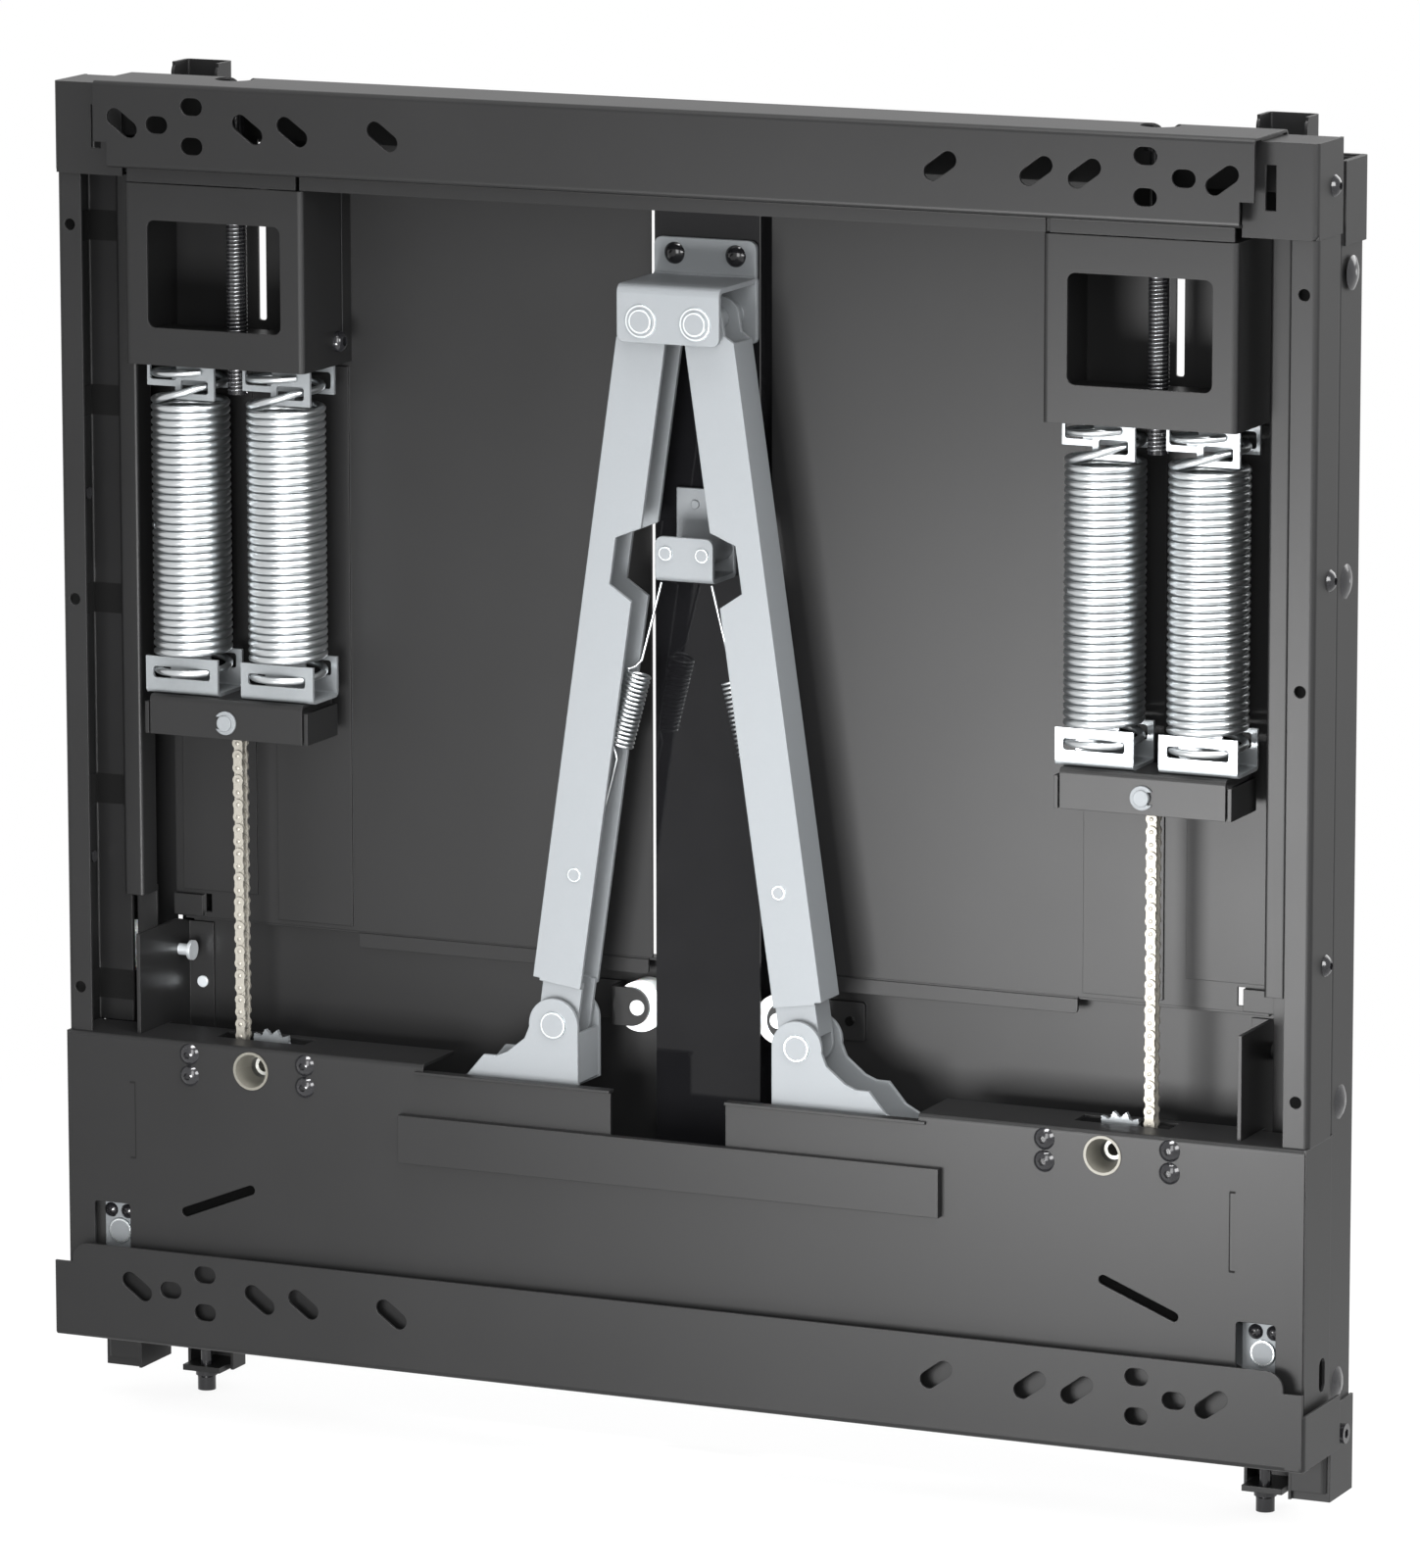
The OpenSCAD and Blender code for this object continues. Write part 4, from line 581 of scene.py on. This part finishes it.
def springHeight(t):
    # the lower hook, the climb to the body, the body, the climb to the upper hook, that hook
    s = spring
    body = t - s["lowTurns"]
    past = body - s["coils"]
    if t < s["flat"]:
        return s["hookLow"]
    if body < 0:
        share = (t - s["flat"]) / (s["lowTurns"] - s["flat"])
        return s["hookLow"] + (s["bodyLow"] - s["hookLow"]) * share
    if past < 0:
        return s["bodyLow"] + (s["bodyHigh"] - s["bodyLow"]) * body / s["coils"]
    if past < s["climb"]:
        return s["bodyHigh"] + (s["hookHigh"] - s["bodyHigh"]) * past / s["climb"]
    return s["hookHigh"] + (s["end"] - s["hookHigh"]) * (past - s["climb"])


def springPoints(centre, first, last):
    points = []
    count = int((last - first) * spring["perTurn"])
    for i in range(count + 1):
        t = first + (last - first) * i / count
        a = math.radians(180 - 360 * t)
        points.append(at(centre + spring["meanRadius"] * math.cos(a),
                         spring["depth"] - spring["meanRadius"] * math.sin(a), springHeight(t)))
    return points


middle = (spring["bodyLow"] + spring["bodyHigh"]) / 2
half = spring["lowTurns"] + spring["coils"] / 2
whole = spring["lowTurns"] + spring["coils"] + spring["highTurns"]
for side, s in (("left", -1), ("right", 1)):
    parts = (("lower", (spring["first"], half), ("yoke_%s_body" % side, "carriage"),
              (spring["bodyLow"], middle)),
             ("upper", (half, whole), ("carriage", "hanger_%s_body" % side),
              (middle, spring["bodyHigh"])))
    for part, (first, last), bodies, (low, high) in parts:
        for letter, e in (("a", -1), ("b", 1)):
            centre = s * spring["x"] + e * spring["gap"] / 2
            coil = wire("balance_spring_%s_%s_%s" % (part, side, letter),
                        springPoints(centre, first, last), spring["wire"] / 2 * mm, springSteel)
            at(s * spring["x"], spring["depth"], low)
            at(s * spring["x"], spring["depth"], high)
            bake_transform(coil)
            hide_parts("coil_springs_" + side)
print("balance springs made")


armSpring = dict(wire=1.5, radius=6.0, coils=17, start=48.0, length=39.0, perTurn=20, sides=8,
                 eye=(13.7, 34.0, 80.5), pin=(52.7, 31.0, -67.4), lead=7, bend=3, bendShare=0.4,
                 blendFrom=(15, 34, 78), blendTo=(52, 31, -64))


def armSpringPoints(s):
    # a straight lead from the bracket, the coils, and a straight lead to the arm's pin
    a = armSpring
    top, bottom = Vector(a["eye"]), Vector(a["pin"])
    axis = (bottom - top).normalized()
    sideways = axis.cross(Vector((0, 1, 0))).normalized()
    behind = axis.cross(sideways)
    aside = sideways * a["radius"] * a["bendShare"]
    count = a["coils"] * a["perTurn"]
    points = [top, top + axis * (a["start"] - a["lead"]), top + axis * (a["start"] - a["bend"]) + aside]
    for i in range(count + 1):
        turn = 2 * math.pi * i / a["perTurn"]
        points.append(top + axis * (a["start"] + a["length"] * i / count)
                      + sideways * a["radius"] * math.cos(turn) + behind * a["radius"] * math.sin(turn))
    past = a["start"] + a["length"]
    points += [top + axis * (past + a["bend"]) + aside, top + axis * (past + a["lead"]), bottom]
    return [at(s * p.x, p.y, p.z) for p in points]


for side, s in (("left", -1), ("right", 1)):
    coil = wire("arm_tension_spring_" + side, armSpringPoints(s), armSpring["wire"] / 2 * mm,
                springSteel, armSpring["sides"])
    first, last = [at(s * x, depth, z)
                   for x, depth, z in (armSpring["blendFrom"], armSpring["blendTo"])]
    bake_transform(coil)
    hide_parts("arm_spring_" + side)
print("arm springs made")


# the links' heights are counted in pitches from the sprocket's axis; a plate's lobe in degrees
chain = dict(x=250.0, depth=34.0, pitch=6.35, sprocketZ=-183.2, above=28, below=5,
             plateHalf=2.9, inner=2.15, outer=3.15, thick=0.85,
             lobeStart=-35, lobeSweep=250, lobeSteps=14,
             bush=[(1.65, -2), (1.65, 2)], bushSteps=14,
             pin=[(0.7, -4.15), (1.05, -3.95), (1.05, 3.95), (0.7, 4.15)], pinSteps=12)


def linkPlate(depth):
    # a figure-eight plate between two pins, its face on the x z plane
    c, shape = chain, []
    for end, turned in ((1, 0), (-1, 180)):
        for k in range(c["lobeSteps"] + 1):
            a = math.radians(c["lobeStart"] + turned + c["lobeSweep"] * k / c["lobeSteps"])
            shape.append((c["plateHalf"] * math.cos(a),
                          end * c["pitch"] / 2 + c["plateHalf"] * math.sin(a)))
    n = len(shape)
    verts = [(x, depth + e * c["thick"] / 2, z) for e in (-1, 1) for x, z in shape]
    faces = [tuple(range(n)), tuple(range(2 * n - 1, n - 1, -1))]
    faces += [(i, i + n, (i + 1) % n + n, (i + 1) % n) for i in range(n)]
    return verts, faces


def joined(parts):
    # several parts in millimetres as one, in metres
    verts, faces = [], []
    for v, f in parts:
        base = len(verts)
        verts += [tuple(c * mm for c in p) for p in v]
        faces += [tuple(i + base for i in face) for face in f]
    return verts, faces


def raised(part, up):
    return [(x, y, z + up) for x, y, z in part[0]], part[1]


def chainLink(inner):
    # two plates with two bushes between them, or with two pins through them
    c = chain
    offset = c["inner"] if inner else c["outer"]
    profile, steps = (c["bush"], c["bushSteps"]) if inner else (c["pin"], c["pinSteps"])
    parts = [linkPlate(-offset), linkPlate(offset)]
    parts += [raised(lathe(profile, steps), z) for z in (-c["pitch"] / 2, c["pitch"] / 2)]
    verts, faces = joined(parts)
    return smoothByAngle(outward(newObject("link", verts, (), faces)))


for side, s in (("left", -1), ("right", 1)):
    for kind, inner, offset in (("inner", True, 0), ("outer", False, 1)):
        spots = []
        for k in range(offset, chain["above"] + chain["below"], 2):
            height = (k - chain["below"] + 0.5) * chain["pitch"]
            spots.append(at(s * chain["x"], chain["depth"], chain["sprocketZ"] + height))
        links = scatter("chain_%s_links_%s" % (kind, side), chainLink(inner), spots, nickel)
        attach(links, "yoke_%s_body" % side)
    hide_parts("chain_" + side)
print("chains made")


# a tooth's corners are given as a radius and a share of half the angle between two teeth
sprocket = dict(x=233.725, z=-183.2, depth=34.0, teeth=16, pitchRadius=16.275, gullet=1.75,
                seatStart=-100, seatSweep=-160, seatSteps=8, shoulder=16.4, tip=17.3,
                corners=(("shoulder", 0.77), ("tip", 0.93), ("tip", 1.07), ("shoulder", 1.23)),
                thick=2.6, inner=9.0, hubSteps=40,
                hub=[(6.1, -3), (9.1, -3), (9.5, -2.6), (9.5, 3), (9.1, 3.4), (6.1, 3.4)])


def toothedDisc():
    # roller seats joined by pointed teeth, as a flat ring about y
    c, outline = sprocket, []
    half = math.pi / c["teeth"]
    for i in range(c["teeth"]):
        cosine, sine = math.cos(2 * half * i), math.sin(2 * half * i)
        seat = []
        for k in range(c["seatSteps"] + 1):
            a = math.radians(c["seatStart"] + c["seatSweep"] * k / c["seatSteps"])
            seat.append((c["pitchRadius"] + c["gullet"] * math.cos(a), c["gullet"] * math.sin(a)))
        tooth = [(c[r] * math.cos(half * f), c[r] * math.sin(half * f)) for r, f in c["corners"]]
        outline += [(u * cosine - v * sine, u * sine + v * cosine) for u, v in seat + tooth]
    n = len(outline)
    ring = []
    for x, z in outline:
        share = c["inner"] / math.hypot(x, z)
        ring.append((x * share, z * share))
    verts = [(x, e * c["thick"] / 2, z) for e in (-1, 1) for row in (outline, ring) for x, z in row]
    faces = []
    for i in range(n):
        j = (i + 1) % n
        faces += [(i, j, n + j, n + i), (2 * n + i, 3 * n + i, 3 * n + j, 2 * n + j),
                  (i, 2 * n + i, 2 * n + j, j), (n + i, n + j, 3 * n + j, 3 * n + i)]
    return verts, faces


for side, s in (("left", -1), ("right", 1)):
    verts, faces = joined([toothedDisc(), lathe(sprocket["hub"], sprocket["hubSteps"], hollow=True)])
    centre = at(s * sprocket["x"], sprocket["depth"], sprocket["z"])
    wheel = newObject("sprocket_wheel_" + side, [centre + Vector((s * x, y, z)) for x, y, z in verts],
                      (), faces)
    smoothByAngle(outward(wheel))
    wheel.data.materials.append(zincBright)
    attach(wheel, "sprocket_%s_body" % side)
    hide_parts("sprocket_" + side)
print("sprockets made")


thread = dict(x=250.0, depth=35.5, radius=4.8, wire=0.6, pitch=2.0, low=162.0, high=268.0,
              perTurn=14, sides=6)
for side, s in (("left", -1), ("right", 1)):
    t = thread
    points = []
    for i in range(int((t["high"] - t["low"]) / t["pitch"] * t["perTurn"]) + 1):
        a = 2 * math.pi * i / t["perTurn"]
        points.append(at(s * t["x"] + t["radius"] * math.cos(a), t["depth"] + t["radius"] * math.sin(a),
                         t["low"] + t["pitch"] * i / t["perTurn"]))
    ridge = wire("spindle_thread_" + side, points, t["wire"] * mm, threadSteel, t["sides"])
    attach(ridge, "spindle_%s_body" % side)
print("threads made")


boxScrew = dict(x=199.75, depth=48.0, z=189.0, steps=36,
                head=[(5.3, 0), (5.3, 1.1), (4.9, 2.6), (3.9, 3.7), (2.4, 4.2), (2.3, 4.2), (2.3, 2.0)])
for side, s in (("left", -1), ("right", 1)):
    verts, faces = lathe(boxScrew["head"], boxScrew["steps"])
    base = at(s * boxScrew["x"], boxScrew["depth"], boxScrew["z"])
    screw = newObject("box_screw_" + side, [base + Vector((-s * y, x, z)) * mm for x, y, z in verts],
                      (), faces)
    smoothByAngle(outward(screw))
    screw.data.materials.append(blackScrew)
    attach(screw, "carriage")
print("box screws made")


# the tilt is in degrees
slotShade = dict(x=253.2, z=-253.0, tilt=21.8, halfLength=29.0, halfWidth=9.0, front=12.1, back=12.6)
boxFaces = [(0, 1, 2, 3), (4, 5, 6, 7), (0, 1, 5, 4), (1, 2, 6, 5), (2, 3, 7, 6), (3, 0, 4, 7)]
slotShadeSkin = shadeBlackFinish()
for side, s in (("left", -1), ("right", 1)):
    # painted shade: a black strip behind each slanted slot of the front panel stands in for the shade
    # there, and hides the lower arms
    c = slotShade
    cosine, sine = math.cos(math.radians(c["tilt"])), math.sin(math.radians(c["tilt"]))
    corners = []
    for depth in (c["front"], c["back"]):
        for u, v in ((-1, -1), (1, -1), (1, 1), (-1, 1)):
            along, across = u * c["halfLength"], v * c["halfWidth"]
            corners.append(at(s * (c["x"] + along * cosine + across * sine), depth,
                              c["z"] - along * sine + across * cosine))
    slotShadeSheet = outward(newObject("slot_liner_" + side, corners, (), boxFaces))
    slotShadeSheet.data.materials.append(slotShadeSkin)
    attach(slotShadeSheet, "carriage")
print("slot shade sheets made")


# glow is how much of the floor is plain white, near the mount and far from it
floorLook = dict(colour=(0.92, 0.92, 0.92, 1), rough=0.8, gloss=0.1, glow=(0.86, 1.0),
                 fadeStart=0.4, fadeRate=1.6, drop=0.0005, reach=6.0)


def whiteFloor():
    # matt white near the mount, where its shadow falls, and as white as the background further out
    c = floorLook
    finish = Finish("pale floor")
    finish.feed(Base_Color=c["colour"], Roughness=c["rough"], Specular_IOR_Level=c["gloss"])
    glow = finish.node("ShaderNodeEmission", Color=(1, 1, 1, 1), Strength=1.0)
    length = finish.node("ShaderNodeVectorMath", {"operation": "LENGTH"}, output=1, i0=finish.place())
    far = finish.node("ShaderNodeMath", {"operation": "MULTIPLY", "use_clamp": True},
                      i0=length - c["fadeStart"], i1=c["fadeRate"])
    seen = finish.node("ShaderNodeLightPath", output=0)
    shiny = finish.node("ShaderNodeLightPath", output=3)
    both = finish.node("ShaderNodeMath", {"operation": "MAXIMUM"}, i0=seen, i1=shiny)
    mix = finish.node("ShaderNodeMixShader", i0=both * far.ranged(*c["glow"]),
                      i1=Wire(finish.tree, finish.shader.outputs[0]), i2=glow)
    finish.tree.links.new(mix.socket, finish.out.inputs["Surface"])
    return finish.material


floorZ, reach = cadLow.z - floorLook["drop"], floorLook["reach"]
floor = newObject("floor", [(-reach, -reach, floorZ), (reach, -reach, floorZ), (reach, reach, floorZ),
                            (-reach, reach, floorZ)], (), [(0, 1, 2, 3)])
floor.data.materials.append(whiteFloor())

# what is seen directly, mirrored or through something is plain white; the rest lights the mount
sky = dict(seen=(1, 1, 1, 1), seenStrength=1.0, lit=(0.98, 0.99, 1, 1), litStrength=0.9)
world = bpy.data.worlds.new("studio")
bpy.context.scene.world = world
world.use_nodes = True
nodes, links = world.node_tree.nodes, world.node_tree.links
nodes.clear()
outNode = nodes.new("ShaderNodeOutputWorld")
seen, lit = nodes.new("ShaderNodeBackground"), nodes.new("ShaderNodeBackground")
mixer, pathNode = nodes.new("ShaderNodeMixShader"), nodes.new("ShaderNodeLightPath")
seen.inputs["Color"].default_value = sky["seen"]
seen.inputs["Strength"].default_value = sky["seenStrength"]
lit.inputs["Color"].default_value = sky["lit"]
lit.inputs["Strength"].default_value = sky["litStrength"]
ray = pathNode.outputs["Is Camera Ray"]
for other in ("Is Glossy Ray", "Is Transmission Ray"):
    larger = nodes.new("ShaderNodeMath")
    larger.operation = "MAXIMUM"
    links.new(ray, larger.inputs[0])
    links.new(pathNode.outputs[other], larger.inputs[1])
    ray = larger.outputs[0]
links.new(ray, mixer.inputs[0])
links.new(lit.outputs[0], mixer.inputs[1])
links.new(seen.outputs[0], mixer.inputs[2])
links.new(mixer.outputs[0], outNode.inputs["Surface"])

lamps = [
    dict(name="tall softbox", place=(1.3, -2.8, 1.25), wide=1.3, high=2.6, power=80),
    dict(name="sheen softbox", place=(-0.02, -1.02, -0.24), wide=0.4, high=0.36, power=20),
    dict(name="side softbox", place=(2.3, -1.0, 0.9), wide=1.2, high=1.2, power=72),
    dict(name="top softbox", place=(0.3, -0.6, 2.1), wide=1.2, high=0.8, power=95),
    dict(name="rear softbox", place=(1.2, 3.0, 1.6), wide=2.4, high=2.4, power=60),
]
for spec in lamps:
    lamp = bpy.data.lights.new(spec["name"], "AREA")
    lamp.shape, lamp.energy = "RECTANGLE", spec["power"]
    lamp.size, lamp.size_y = spec["wide"], spec["high"]
    lampObject = bpy.data.objects.new(spec["name"], lamp)
    lampObject.location = spec["place"]
    lampObject.rotation_mode = "QUATERNION"
    lampObject.rotation_quaternion = (-Vector(spec["place"])).to_track_quat("-Z", "Y")
    lampObject.visible_camera = False
    bpy.context.scene.collection.objects.link(lampObject)

# solved from the photo's straight edges; the place is in millimetres, as in at()
shot = dict(lens=210.27, sensor=36, clip=100, place=(1862.4, -4044.8, 827.3),
            right=(0.9108, 0.4128, -0.0013), up=(-0.0755, 0.1697, 0.9826),
            back=(0.4059, -0.8949, 0.1858))
camera = bpy.data.cameras.new("camera")
camera.lens = shot["lens"]
camera.sensor_width = shot["sensor"]
camera.clip_end = shot["clip"]
eye = bpy.data.objects.new("camera", camera)
bpy.context.scene.collection.objects.link(eye)
turned = Matrix((shot["right"], shot["up"], shot["back"])).transposed()
eye.matrix_world = Matrix.Translation(at(*shot["place"])) @ turned.to_4x4()
bpy.context.scene.camera = eye
bpy.context.scene.view_settings.view_transform = "Standard"
print("stage, lamps and camera set")
